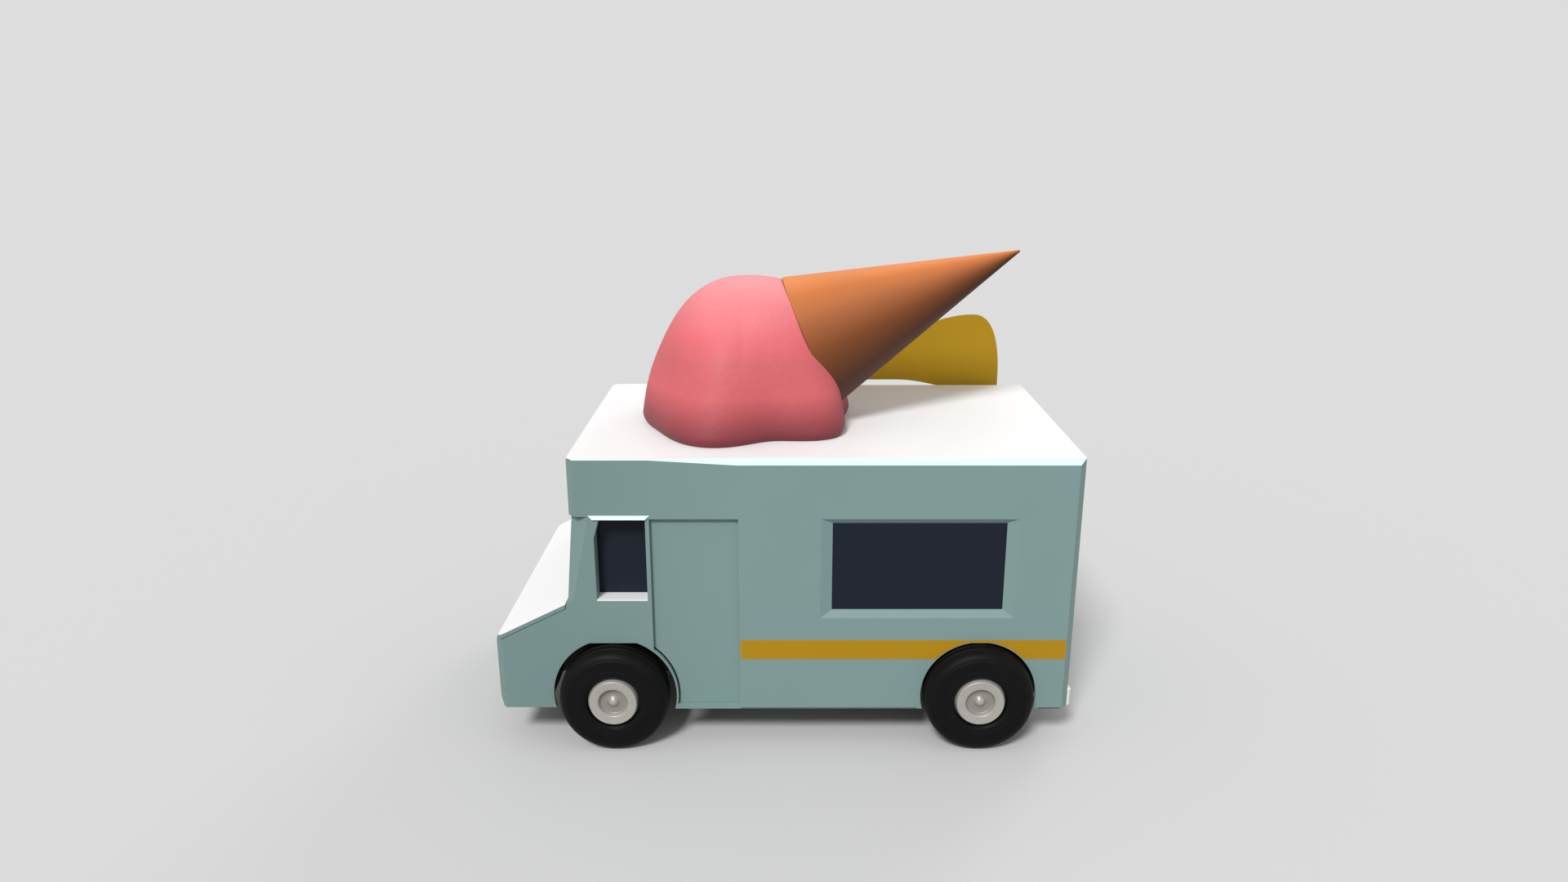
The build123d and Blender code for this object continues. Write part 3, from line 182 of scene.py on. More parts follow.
def piece(name, mesh, material, body, slot, *stands_for, crease=32):
    """Named object on a body of the vehicle; faces that meet at more than the crease angle stay sharp"""
    mesh.shade_smooth()
    mesh.set_sharp_from_angle(angle=np.radians(crease))
    mesh.materials.append(material)
    thing = bpy.data.objects.new(name, mesh)
    bpy.context.scene.collection.objects.link(thing)
    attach(thing, body)
    if stands_for:
        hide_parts(*stands_for)
    return thing


def turned(name, radius, out, hub, steps, along):
    """Profile of radius and outboard distance carried once round the axle.

    Across the wheel, x and z are the hub plus the radius times the cosine and sine of the turn.
    """
    hub_x, hub_y, hub_z = hub
    turn = full_turn(steps)
    x = hub_x + radius[:, None] * np.cos(turn)
    y = hub_y + np.sign(hub_y) * out[:, None] + 0 * turn
    z = hub_z + radius[:, None] * np.sin(turn)
    return skin(name, np.stack([x, y, z], -1), around=True, along=along)


def notch(place, centres, width):
    """One at each centre, falling away to nothing within the width, as a flat-topped bell"""
    return sum(np.exp(-((place - centre) / width) ** bell_power) for centre in centres)


def outer(share):
    """Nothing on the inner part of a half width, rising evenly to one where its outer face begins"""
    start, end = outer_part
    return np.clip((share - start) / (end - start), 0, 1)


def tyre_profile():
    """Section of a tyre: a squared-off oval, squarer at the bead, less the rings and plus the ribs"""
    turn = full_turn(tyre_points)
    middle, half_height, half_width = tyre_section
    power = np.where(np.sin(turn) > 0, tread_power, bead_power)
    scale = (np.abs(np.cos(turn)) ** power + np.abs(np.sin(turn)) ** power) ** (-1 / power)
    radius = middle + half_height * scale * np.sin(turn)
    out = half_width * scale * np.cos(turn)
    on_tread = outer((radius - middle) / half_height)
    radius = radius - ring_depth * on_tread * notch(out, tread_rings, ring_width)
    on_flank = outer(np.abs(out) / half_width)
    between_ribs = 1 - notch(radius, flank_ribs, rib_width)
    out = out - np.sign(out) * rib_height * on_flank * between_ribs
    return radius, out


rubber = finish("tyre_rubber", "101010", gloss=0.5, drift=0.16, cloud=11.0, grain=500.0, lift=0.0003,
                shine=0.1)
for corner in corners:
    tyre = turned(f"tyre_{corner}_skin", *tyre_profile(), hubs[f"{corner}_wheel"], tyre_steps, along=True)
    piece(f"rubber_tyre_{corner}", tyre, rubber, f"{corner}_wheel", "tyre_rubber", f"tyre_{corner}")

# Wheels: pressed steel with a broad flat ring, a shallow dish and a small cone over the hub nut.
# Each is spun from one disc, welded into its barrel and sprayed silver, and the silver is painted darker in the
# dish as painted shade.
wheel_steps = 96
edge_round = 0.003
edge_segments = 2
sharp_angle = 28           # degrees; edges flatter than this aren't rounded
dish_out = (0.094, 0.136)  # floor of the dish and face of the ring
# share of the way out of the dish, pigment, darker in the dish as painted shade
silver_dish_shade = ((0.0, "9c978e"), (0.35, "a9a49b"), (0.75, "bab5ae"), (1.0, "beb9b3"))
# radius, distance outboard of the wheel's middle
wheel_line = np.array([
    (0, 0.128), (0.014, 0.127), (0.026, 0.121), (0.046, 0.1), (0.07, 0.096), (0.1, 0.099), (0.114, 0.133),
    (0.177, 0.137), (0.194, 0.1), (0.194, -0.1), (0.181, -0.1), (0.181, 0.08), (0.159, 0.107), (0.114, 0.07),
    (0.062, 0.07), (0.062, 0.003), (0.0301, 0.003), (0.0301, 0.098), (0, 0.098),
])


def soften(thing, width):
    """Round every sharp edge of a piece by a small width"""
    bevel = thing.modifiers.new("edge", "BEVEL")
    bevel.width = width
    bevel.segments = edge_segments
    bevel.limit_method = "ANGLE"
    bevel.angle_limit = np.radians(sharp_angle)


def share_along(material, reading, axis, low, high, mirrored=False):
    """Share of the way from low to high that one reading of the surface has gone along an axis.

    Where it is mirrored, the reading counts alike on both sides of the vehicle.
    """
    nodes, links = material.node_tree.nodes, material.node_tree.links
    apart = nodes.new("ShaderNodeSeparateXYZ")
    links.new(nodes["place"].outputs[reading], apart.inputs["Vector"])
    part = apart.outputs[axis]
    if mirrored:
        either_side = nodes.new("ShaderNodeMath")
        either_side.operation = "ABSOLUTE"
        links.new(part, either_side.inputs[0])
        part = either_side.outputs["Value"]
    share = nodes.new("ShaderNodeMapRange")
    share.inputs["From Min"].default_value = low
    share.inputs["From Max"].default_value = high
    links.new(part, share.inputs["Value"])
    return share.outputs["Result"]


def paint_shading(material, share, shades):
    """Paint shade into a pale mottled finish: the share runs along a row of pigments, which tint the mottle"""
    nodes, links = material.node_tree.nodes, material.node_tree.links
    tones = nodes.new("ShaderNodeValToRGB")
    stops = tones.color_ramp.elements
    while len(stops) < len(shades):
        stops.new(0.5)
    for stop, (position, code) in zip(stops, shades):
        stop.position = position
        stop.color = rgba(pigment(code))
    links.new(share, tones.inputs["Fac"])
    mottle = nodes.new("ShaderNodeMix")
    mottle.data_type = "RGBA"
    mottle.blend_type = "MULTIPLY"
    mottle.inputs["Factor"].default_value = 1.0
    links.new(tones.outputs["Color"], mottle.inputs["A"])
    links.new(nodes["tint"].outputs["Color"], mottle.inputs["B"])
    links.new(mottle.outputs["Result"], nodes["Principled BSDF"].inputs["Base Color"])


silver = finish("wheel_silver", "fcfcfc", gloss=0.42, drift=0.05, cloud=18.0, grain=700.0, metal=0.25)
wheel_y = hubs["front_left_wheel"][1]
# Painted shade: the silver darkens from the face of the ring down into the dish.
out_of_dish = share_along(silver, "Object", "Y", wheel_y + dish_out[0], wheel_y + dish_out[1], mirrored=True)
paint_shading(silver, out_of_dish, silver_dish_shade)
for corner in corners:
    disc = turned(f"wheel_{corner}_skin", *wheel_line.T, hubs[f"{corner}_wheel"], wheel_steps, along=False)
    wheel = piece(f"steel_wheel_{corner}", disc, silver, f"{corner}_wheel", "silver_wheel", f"wheel_{corner}")
    soften(wheel, edge_round)

# Floor: chequered aluminium plate, laid in one stepped pan from the cab to the rear doors.
# Raised lozenges cross each other at every few centimetres.
plate_pitch = 48.0         # lozenges to a metre
plate_turn = 45            # degrees
plate_lift = 0.0012
plate = finish("chequer_plate", "75787a", gloss=0.45, drift=0.15, cloud=5.0, metal=0.7)
nodes, links = plate.node_tree.nodes, plate.node_tree.links
lozenge = nodes.new("ShaderNodeTexChecker")
lozenge.inputs["Scale"].default_value = plate_pitch
askew = nodes.new("ShaderNodeMapping")
askew.inputs["Rotation"].default_value = (0, 0, np.radians(plate_turn))
links.new(nodes["place"].outputs["Object"], askew.inputs["Vector"])
links.new(askew.outputs["Vector"], lozenge.inputs["Vector"])
raised = nodes.new("ShaderNodeBump")
raised.inputs["Distance"].default_value = plate_lift
links.new(lozenge.outputs["Fac"], raised.inputs["Height"])
links.new(nodes["bump"].outputs["Normal"], raised.inputs["Normal"])
links.new(raised.outputs["Normal"], nodes["Principled BSDF"].inputs["Normal"])
dress("floor_plate", plate)

# Sides, doors, cab front, nose, bumper band and rear frame: flat pressed panels in a soft grey teal.
# The paint is painted a little darker from the box towards the nose as painted shade, and it carries a faint
# orange peel.
side_teal = "87a3a0"
nose_shade_teal = "7f9996"
nose_shade_x = (0.3, 1.9)        # where the painted shade towards the nose starts and ends along the vehicle


def overcoat(material, cover, code):
    """Lay one pigment over the colour that a finish has so far, from nothing to all of it by the cover"""
    nodes, links = material.node_tree.nodes, material.node_tree.links
    base = nodes["Principled BSDF"].inputs["Base Color"]
    coat = nodes.new("ShaderNodeMix")
    coat.data_type = "RGBA"
    coat.inputs["B"].default_value = rgba(pigment(code))
    links.new(cover, coat.inputs["Factor"])
    links.new(base.links[0].from_socket, coat.inputs["A"])
    links.new(coat.outputs["Result"], base)


def body_paint(name):
    """Body paint whose pigment runs from the side's to a darker teal at the nose along the vehicle, as painted
    shade
    """
    paint = finish(name, side_teal, gloss=0.5, drift=0.012, cloud=2.2, grain=340.0, lift=0.00006, shine=0.3)
    # Painted shade: the teal darkens along the vehicle towards the nose.
    overcoat(paint, share_along(paint, "Object", "X", *nose_shade_x), nose_shade_teal)
    return paint


dress("teal_paint", body_paint("teal_enamel"))

# Side stripes: one broad band of ochre film on each side of the box, rolled on after painting.
# The film is cut to the wheel opening, and stands out by its own thickness.
sides = (("left", 1), ("right", -1))
side_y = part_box("side_wall_left")[1].y
stripe_x = (-2.117, 0.344)
stripe_z = (0.719, 0.877)
film = 0.0012
glue = 0.0001              # between the panel and a film or moulding
opening_radius = 0.446     # the wheel opening with a small margin
opening_top = 0.855
stripe_stations = 600


def bar(name, rings):
    """Closed bar through a row of rings of corner points, with each end drawn to the middle of its ring"""
    ends = [np.repeat(ring.mean(0, keepdims=True), len(ring), 0)[None] for ring in (rings[0], rings[-1])]
    return skin(name, np.concatenate([ends[0], rings, ends[1]]), around=True)


def box_ring(y_near, y_far, z_low, z_high, x):
    """Four corner points of an upright oblong at each place along the vehicle"""
    level = np.ones_like(x)
    corner_y = [y_near * level, y_far * level, y_far * level, y_near * level]
    corner_z = [z_low * level, z_low * level, z_high * level, z_high * level]
    return np.stack([np.stack([x, y, z], -1) for y, z in zip(corner_y, corner_z)], 1)


def stripe_foot(x):
    """Lower edge of the film: its own level line, or the round of the wheel opening where that is higher"""
    hub_x, _, hub_z = hubs["rear_left_wheel"]
    room = np.maximum(opening_radius ** 2 - (x - hub_x) ** 2, 0)
    return np.maximum(stripe_z[0], np.minimum(hub_z + np.sqrt(room), opening_top))


ochre = finish("ochre_film", "be9118", gloss=0.55, drift=0.02, cloud=4.0, grain=260.0, lift=0.00005,
               shine=0.2)
for side, sign in sides:
    x = np.linspace(*stripe_x, stripe_stations)
    rings = box_ring(sign * (side_y + glue), sign * (side_y + film), stripe_foot(x), stripe_z[1], x)
    piece(f"ochre_stripe_{side}", bar(f"stripe_{side}_skin", rings), ochre, "body", "ochre_board")

# Sill mouldings: thin black rubber strips pressed along the lower edge of the box sides.
# Each side has one length before the rear wheel and one behind it.
sill_z = (0.2952, 0.305)
sill_out = 0.0025
sill_x = ((-2.105, -1.935), (-1.003, 0.345))
sill_stations = 24
sill_rubber = finish("sill_rubber", "566062", gloss=0.6, drift=0.1, cloud=9.0)
for side, sign in sides:
    for place, ends in enumerate(sill_x):
        x = np.linspace(*ends, sill_stations)
        strip = bar(f"sill_{side}_{place}_skin",
                    box_ring(sign * (side_y + glue), sign * (side_y + sill_out), *sill_z, x))
        piece(f"sill_moulding_{side}_{place}", strip, sill_rubber, "body", "black_plastic")

# Windows: dark navy tinted glass, cut flat and bonded behind its openings.
# It is nearly opaque from outside and has a quiet, slightly soft reflection.
glass = finish("navy_glass", "1f2531", gloss=0.22, drift=0.03, cloud=1.5, grain=30.0, lift=0.00002,
               shine=0.12)
dress("dark_glass", glass)

# Rain strips: small sloping mouldings over the cab windows, in the pale aqua of painted highlight, the teal as it
# looks in strong light.
# A wedge section throws the water outwards, and its ends are mitred.
# The ledges below the windows and the step bumper at the tail are painted white as painted highlight, the colour
# of teal faces turned up to strong light.
strip_x = (0.996, 1.444)
strip_mitre = 0.03
strip_z = (1.848, 1.876)
strip_out = 0.016
strip_lip = 0.003
strip_stations = 40
highlight_aqua = "e1fffd"
# Painted highlight: this white and the pale aqua below stand in for teal in strong light.
white = finish("white_enamel", "fbfdfc", gloss=0.4, drift=0.008, cloud=2.0, grain=300.0, lift=0.00006,
               shine=0.3)
dress("white_paint", white)
aqua = finish("aqua_enamel", highlight_aqua, gloss=0.4, drift=0.01, cloud=2.0, grain=300.0, lift=0.00006,
              shine=0.3)
upper_x = np.linspace(strip_x[0], strip_x[1], strip_stations)
lower_x = np.linspace(strip_x[0] + strip_mitre, strip_x[1] - strip_mitre, strip_stations)
level = np.ones(strip_stations)
for side, sign in sides:
    wedge = [(upper_x, glue, strip_z[1]), (lower_x, strip_out, strip_z[0] + strip_lip),
             (lower_x, strip_out, strip_z[0]), (lower_x, glue, strip_z[0])]
    rings = np.stack([np.stack([x, sign * (side_y + y) * level, z * level], -1) for x, y, z in wedge], 1)
    piece(f"rain_strip_{side}", bar(f"rain_strip_{side}_skin", rings), aqua, "body", "white_paint")

# Roof and bonnet: pressed teal panels with painted highlight by the slope of each face: white on top, pale aqua on
# the bevel, teal on the upright flanks.
# The colour is chosen from how far each face turns up, so each follows the slope of its own face.
highlight_white = "ffffff"
upright_limit = 0.12       # faces steeper than this stay teal
level_limits = {"roof_panel": 0.96, "bonnet": 0.85}
for node, level_limit in level_limits.items():
    painted_highlight = body_paint(f"masked_{node}")
    nodes, links = painted_highlight.node_tree.nodes, painted_highlight.node_tree.links
    facing = nodes.new("ShaderNodeSeparateXYZ")
    links.new(nodes["place"].outputs["Normal"], facing.inputs["Vector"])
    # Painted highlight: faces turned up past each limit are painted pale aqua and then white.
    for limit, code in ((upright_limit, highlight_aqua), (level_limit, highlight_white)):
        above = nodes.new("ShaderNodeMath")
        above.operation = "GREATER_THAN"
        above.inputs[1].default_value = limit
        links.new(facing.outputs["Z"], above.inputs[0])
        overcoat(painted_highlight, above.outputs["Value"], code)
    spray(node, painted_highlight)

# Headlamps: moulded clear lenses in the nose, each in a chromed bezel pushed on from the front.
# The lens is fluted upright to spread the light.
lamp_x = 2.196
lamp_y = 0.78
lamp_z = 0.662
flute_pitch = 22.0
rib_lift = 0.002
bezel_radius = 0.106
bezel_round = 0.009
bezel_back = 0.00825       # flat back of the ring behind the face of the nose
bezel_front = 0.0081       # height of its round front
bezel_steps = (80, 16)


def ribbed(material, direction, pitch):
    """Raise moulded ribs on a lens: a wave in one direction, as high as a rib"""
    nodes, links = material.node_tree.nodes, material.node_tree.links
    wave = nodes.new("ShaderNodeTexWave")
    wave.bands_direction = direction
    wave.inputs["Scale"].default_value = pitch
    links.new(nodes["place"].outputs["Object"], wave.inputs["Vector"])
    ridge = nodes.new("ShaderNodeBump")
    ridge.inputs["Distance"].default_value = rib_lift
    links.new(wave.outputs["Fac"], ridge.inputs["Height"])
    links.new(ridge.outputs["Normal"], nodes["Principled BSDF"].inputs["Normal"])


def bezel_skin(name, centre_y):
    """Round ring facing forward: a small circle carried round a large one, flattened at its back"""
    turn, section = np.meshgrid(*(full_turn(steps) for steps in bezel_steps), indexing="ij")
    reach = bezel_radius + bezel_round * np.cos(section)
    x = lamp_x - bezel_back + bezel_front * np.maximum(np.sin(section), 0)
    points = np.stack([x, centre_y + reach * np.cos(turn), lamp_z + reach * np.sin(turn)], -1)
    return skin(name, points, around=True, along=True)


lens = finish("fluted_lens", "dfe6e8", gloss=0.12, drift=0.05, cloud=8.0, shine=0.6)
ribbed(lens, "Y", flute_pitch)
dress("lamp_glass", lens)
chrome = finish("bezel_chrome", "d8dadb", gloss=0.12, drift=0.03, cloud=20.0, metal=1.0)
for side, sign in sides:
    ring = bezel_skin(f"bezel_{side}_skin", sign * lamp_y)
    piece(f"lamp_bezel_{side}", ring, chrome, "body", "bare_steel")

# Plastic mouldings: grille, dashboard, steering wheel and the base of the seat, in grained black.
# The tail lamps are red moulded lenses with level ribs.
tail_rib_pitch = 16.0
black = finish("grained_black", "1d1f21", gloss=0.55, drift=0.1, cloud=7.0, grain=900.0, lift=0.0004)
dress("black_plastic", black)
red = finish("ribbed_red", "8e1512", gloss=0.18, drift=0.08, cloud=12.0, shine=0.6)
ribbed(red, "Z", tail_rib_pitch)
dress("red_lens", red)

# Scoop: a giant ball of strawberry ice cream, laid up in glass fibre and bolted to the roof.
# It bulges over its foot in thick soft drips, and its gel coat is painted darker towards the foot and paler at the
# top, as painted shade and highlight.
scoop_x = 0.329
scoop_foot = 2.3024
scoop_rise = 1.1548
scoop_radius = 0.8
# radius added round the foot, from the front round by the left
drips = np.array([0.045, 0.03, 0.07, 0.16, 0.06, -0.01, 0.17, 0.07,
                  0.04, 0.09, 0.03, 0.11, 0.06, 0.01, 0.12, 0.06])
drip_fade = 1.3            # power by which the drips fade upwards
foot_tuck = 0.05
tuck_height = 0.07         # share of the height over which the foot is drawn in
level_power = 1.15         # spacing of the levels
dome_taper = 0.19
dome_powers = (3, 0.45)
rear_fill = 0.45           # growth of the upper rear, where the cone goes in
lump_height = 0.012
lump_waves = (3, 7)        # round the scoop and up it
scoop_steps = (150, 240)   # up the scoop and round it
# share of the height, pigment, darker low down as painted shade
pink_painted_shade = ((0.03, "79343a"), (0.12, "9e484e"), (0.19, "ba575d"), (0.3, "dd6a6f"),
               (0.5, "dc6b70"), (0.65, "ed7278"), (0.85, "f78a90"), (1.0, "fba3a8"))


def drip_reach(turn):
    """Smooth closed curve through the drips: their finite row of cosines and sines round the scoop"""
    waves = np.fft.rfft(drips) / len(drips)
    reach = np.full_like(turn, waves[0].real)
    for order in range(1, len(waves)):
        weight = 1 if order == len(waves) - 1 else 2
        wave = waves[order].real * np.cos(order * turn) - waves[order].imag * np.sin(order * turn)
        reach += weight * wave
    return reach


def scoop_skin():
    """Melting ball: the reach is the radius plus the drips, fading upwards, times a tapering dome.

    The height runs from the foot to the top. Near the foot the reach is drawn in so the drips overhang.
    """
    height = np.sin(np.linspace(0, 1, scoop_steps[0])[:, None] * np.pi / 2) ** level_power
    turn = full_turn(scoop_steps[1])[None, :]
    dome = (1 - dome_taper * height) * np.maximum(1 - height ** dome_powers[0], 0) ** dome_powers[1]
    tuck = 1 - foot_tuck * np.clip(1 - height / tuck_height, 0, 1) ** 2
    fill = 1 + rear_fill * height ** 2 * np.maximum(-np.cos(turn), 0)
    lumps = lump_height * np.sin(lump_waves[0] * turn + lump_waves[1] * height) * np.sin(np.pi * height)
    reach = tuck * dome * fill * (scoop_radius + drip_reach(turn) * (1 - height) ** drip_fade + lumps)
    x = scoop_x + reach * np.cos(turn)
    y = reach * np.sin(turn)
    z = scoop_foot + scoop_rise * height + 0 * turn
    points = np.stack([x, y, z], -1)
    foot = np.repeat(points[:1].mean(1, keepdims=True), points.shape[1], 1)
    return skin("scoop_skin", np.concatenate([foot, points]), around=True)


pink = finish("strawberry_gel", "fcfcfc", gloss=0.55, drift=0.06, cloud=3.2, grain=26.0, lift=0.004,
              shine=0.3)
# Painted shade: the pink darkens from the top of the scoop down to its foot.
paint_shading(pink, share_along(pink, "Object", "Z", scoop_foot, scoop_foot + scoop_rise), pink_painted_shade)
piece("melting_scoop", scoop_skin(), pink, "body", "pink_moulding", "scoop")

# Cone: a giant wafer cone, rolled in glass fibre round a former and driven into the scoop.
# It is painted darker on faces turned down and lighter on faces turned up, as painted shade and highlight, and a
# shallow dome of the same ice cream closes its mouth against the scoop.
cone_base = np.array([-0.187, 0.0, 2.931])
cone_rise = np.radians(23.7)
cone_radius = 0.554
cone_length = 1.8
tip_radius = 0.008
rim_round = 0.012
cone_steps = 144
cone_stations = 60
filling_rise = 0.05
filling_power = 0.6
filling_back = 0.02
filling_stations = 24
# share of the way from facing down to facing up, pigment, darker facing down as painted shade
wafer_painted_shade = ((0.0, "43220f"), (0.285, "532c15"), (0.53, "844a26"), (0.735, "ae6537"), (0.91, "d37c43"),
                (1.0, "f2965a"))


def spun_on_cone(name, radius, reach):
    """Profile of radius and reach along the cone's axis, carried once round that axis"""
    forward = np.array([-np.cos(cone_rise), 0, np.sin(cone_rise)])
    upward = np.array([np.sin(cone_rise), 0, np.cos(cone_rise)])
    across = np.array([0, 1, 0])
    turn = full_turn(cone_steps)[None, :, None]
    ring = np.cos(turn) * upward + np.sin(turn) * across
    return skin(name, cone_base + reach[:, None, None] * forward + radius[:, None, None] * ring, around=True)


wafer = finish("wafer_shell", "fcfcfc", gloss=0.6, drift=0.05, cloud=2.4, grain=60.0, lift=0.0006, shine=0.25)
# Painted shade: the wafer darkens on faces turned down and lightens on faces turned up.
paint_shading(wafer, share_along(wafer, "Normal", "Z", -1.0, 1.0), wafer_painted_shade)
share = np.linspace(0, 1, cone_stations)
flank = cone_radius + (tip_radius - cone_radius) * share
radius = np.concatenate([[0, cone_radius - rim_round], flank, [0]])
reach = np.concatenate([[0, 0], rim_round * (1 - share) + cone_length * share, [cone_length]])
piece("wafer_cone", spun_on_cone("cone_skin", radius, reach), wafer, "body", "cone_moulding", "cone")
turn = np.linspace(0, np.pi / 2, filling_stations)
radius = np.append((cone_radius - 2 * rim_round) * np.sin(turn), 0)
reach = np.append(-filling_rise * np.cos(turn) ** filling_power, filling_back)
piece("cone_filling", spun_on_cone("filling_skin", radius, reach), pink, "body", "pink_moulding")

# Roof sign: a sheet-metal board cut to a soft wave, sprayed ochre and left blank on both sides.
# It stands on three studs outside the right edge of the roof.
board_x = (-1.957, 0.165)
board_y = (-1.192, -1.17)
crest_x = -1.7
crest_z = 2.945
rear_corner = (0.257, 0.615)               # run and fall of the round behind the crest
front_corner = (0.257, 0.48)
corner_power = 2.5
shoulder_fall = 0.13
shoulder_run = 0.71
board_foot = 2.252
foot_rise = 0.09                           # lower edge waved clear of the roof
rise_x = (-1.03, -0.742)
rise_run = 0.65
board_edge = 0.004
board_stations = 320
stud_x = (-1.778, -0.222, -0.035)
stud_z = 2.262
stud_radius = 0.012
stud_stations = 4
stud_sides = 20


def corner_drop(distance, run, fall):
    """Fall of a rounded corner: a quarter of a squared-off oval, from level to upright over its run"""
    share = np.clip(distance / run, 0, 1)
    return fall * (1 - (1 - share ** corner_power) ** (1 / corner_power))


def swell(distance, run):
    """Half a wave: nothing at the start, one at the end of the run and after it"""
    return (1 - np.cos(np.pi * np.clip(distance / run, 0, 1))) / 2


def tube(name, path, radius, across, sides):
    """Round bar along a path: at each of its points a circle, worked out from two directions.

    One of them lies across the path, and the other is square to that and to the path.
    """
    ahead = np.gradient(path, axis=0)
    ahead /= np.linalg.norm(ahead, axis=1, keepdims=True)
    across = np.tile(np.array(across, float), (len(path), 1))
    over = np.cross(ahead, across)
    turn = full_turn(sides)[None, :, None]
    return bar(name, path[:, None] + radius * (np.cos(turn) * across[:, None] + np.sin(turn) * over[:, None]))


ochre_sheet = finish("ochre_sheet", "b08a14", gloss=0.5, drift=0.02, cloud=3.0, grain=260.0, shine=0.2)
dress("ochre_board", ochre_sheet)
x = board_x[0] + (board_x[1] - board_x[0]) * swell(np.linspace(0, 1, board_stations), 1)
top = crest_z - corner_drop(crest_x - x, *rear_corner) - shoulder_fall * swell(x - crest_x, shoulder_run)
top = top - corner_drop(x - board_x[1] + front_corner[0], *front_corner)
foot = board_foot + foot_rise * (1 - swell(rise_x[0] - x, rise_run)) * (1 - swell(x - rise_x[1], rise_run))
sheet = bar("board_skin", box_ring(*board_y, foot, top, x))
board = piece("wave_board", sheet, ochre_sheet, "body", "ochre_board", "roof_sign")
soften(board, board_edge)
for place, x in enumerate(stud_x):
    y = np.linspace(board_y[1] - board_edge, -side_y, stud_stations)
    path = np.stack([np.full_like(y, x), y, np.full_like(y, stud_z)], -1)
    stud = tube(f"stud_{place}_skin", path, stud_radius, (1, 0, 0), stud_sides)
    piece(f"sign_stud_{place}", stud, ochre_sheet, "body", "ochre_board")

# Rear door handles: bent steel bars on two feet, one upright beside the middle of each door.
# They are bolted through the door skin.
tail_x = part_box("roof_panel")[0].x         # the doors lie flush below the roof
handle_y = 0.06
handle_z = (1.18, 1.42)
handle_bar = 0.008
handle_stand = 0.019
handle_sink = 0.002        # feet let into the door
handle_power = 6           # how suddenly the bar bends down to its feet
handle_grip = 1.1          # above one, so that the grip between the bends is straight
handle_stations = 60
handle_sides = 14
handle_steel = finish("handle_steel", "9a9c9d", gloss=0.3, drift=0.06, cloud=30.0, metal=0.9)
rise = np.linspace(-1, 1, handle_stations)
stand = handle_stand * np.clip((1 - np.abs(rise) ** handle_power) * handle_grip, 0, 1)
z = sum(handle_z) / 2 + rise * (handle_z[1] - handle_z[0]) / 2
for side, sign in sides:
    path = np.stack([tail_x - stand + handle_sink, np.full_like(z, sign * handle_y), z], -1)
    handle = tube(f"handle_{side}_skin", path, handle_bar, (0, 1, 0), handle_sides)
    piece(f"rear_handle_{side}", handle, handle_steel, f"{side}_rear_door", "bare_steel")

# Wipers: two spring steel arms with rubber blades, parked along the foot of the windscreen.
# Each is clamped to a spindle in the cowl.
screen_foot = (1.635, 1.193)               # along the vehicle and up, on the face of the glass
screen_head = (1.578, 1.868)
wiper_y = (0.52, -0.42)
wiper_reach = (-0.46, 0.085)               # across the screen and up it
wiper_foot = 0.012                         # above the foot of the screen
wiper_stand = 0.003                        # before the glass
wiper_power = 1.5
wiper_bar = 0.006
wiper_stations = 40
wiper_sides = 10
dark_steel = finish("wiper_black", "202224", gloss=0.45, drift=0.1, cloud=20.0)
run = np.linspace(0, 1, wiper_stations)
rise = wiper_foot + wiper_reach[1] * run ** wiper_power
screen_lean = (screen_head[0] - screen_foot[0]) / (screen_head[1] - screen_foot[1])
for place, foot_y in enumerate(wiper_y):
    path = np.stack([screen_foot[0] + wiper_stand + screen_lean * rise, foot_y + wiper_reach[0] * run,
                     screen_foot[1] + rise], -1)
    arm = tube(f"wiper_{place}_skin", path, wiper_bar, (1, 0, 0), wiper_sides)
    piece(f"wiper_{place}", arm, dark_steel, "body", "black_plastic")

# Driver's seat: foam pads in grained black vinyl, sewn in channels and piped round the edge.
# The pads are crowned, drawn in along their sides, and flat where they rest.
pad_squareness = 0.36
pad_margin = 0.004
pad_waist = 0.035          # share by which the sides are drawn in
pad_crown = 0.012
pad_steps = (90, 160)
pad_crease = 60
channel_depth = 0.007
channel_width = 0.008
cushion_channels = (-0.11, 0.0, 0.11)
back_channels = (-0.16, 0.0, 0.16)


def squared_off(wave):
    """Wave whose size is raised to a low power, so that it stays long near its ends"""
    return np.sign(wave) * np.abs(wave) ** pad_squareness


def pad_skin(name, node, crown_axis, channel_axis, channels):
    """Crowned pad in the box of its solid.

    A ball whose sine and cosine are raised to a low power gives the squared-off form; channels are sunk
    across it on the crowned side, as flat-topped bells in depth.
    """
    low, high = (np.array(corner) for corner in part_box(node))
    middle = (low + high) / 2
    half = (high - low) / 2 - pad_margin
    tilt, turn = np.meshgrid(np.linspace(-np.pi / 2, np.pi / 2, pad_steps[0]), full_turn(pad_steps[1]),
                             indexing="ij")
    girth = squared_off(np.cos(tilt))
    ball = np.stack([girth * squared_off(np.cos(turn)), girth * squared_off(np.sin(turn)),
                     squared_off(np.sin(tilt))], -1)
    flat_axes = [axis for axis in range(3) if axis != crown_axis]
    form = np.empty_like(ball)
    form[..., [*flat_axes, crown_axis]] = ball
    waist = 1 - pad_waist * (1 - form[..., channel_axis:channel_axis + 1] ** 2)
    form = np.where(np.arange(3) == crown_axis, form, form * waist)
    points = middle + half * form
    crowned = np.clip(form[..., crown_axis], 0, 1) ** 2
    crown = pad_crown * (form[..., flat_axes] ** 2).sum(-1)
    sunk = channel_depth * notch(form[..., channel_axis] * half[channel_axis], channels, channel_width)
    points[..., crown_axis] -= crowned * (crown + sunk)
    return skin(name, points, around=True)


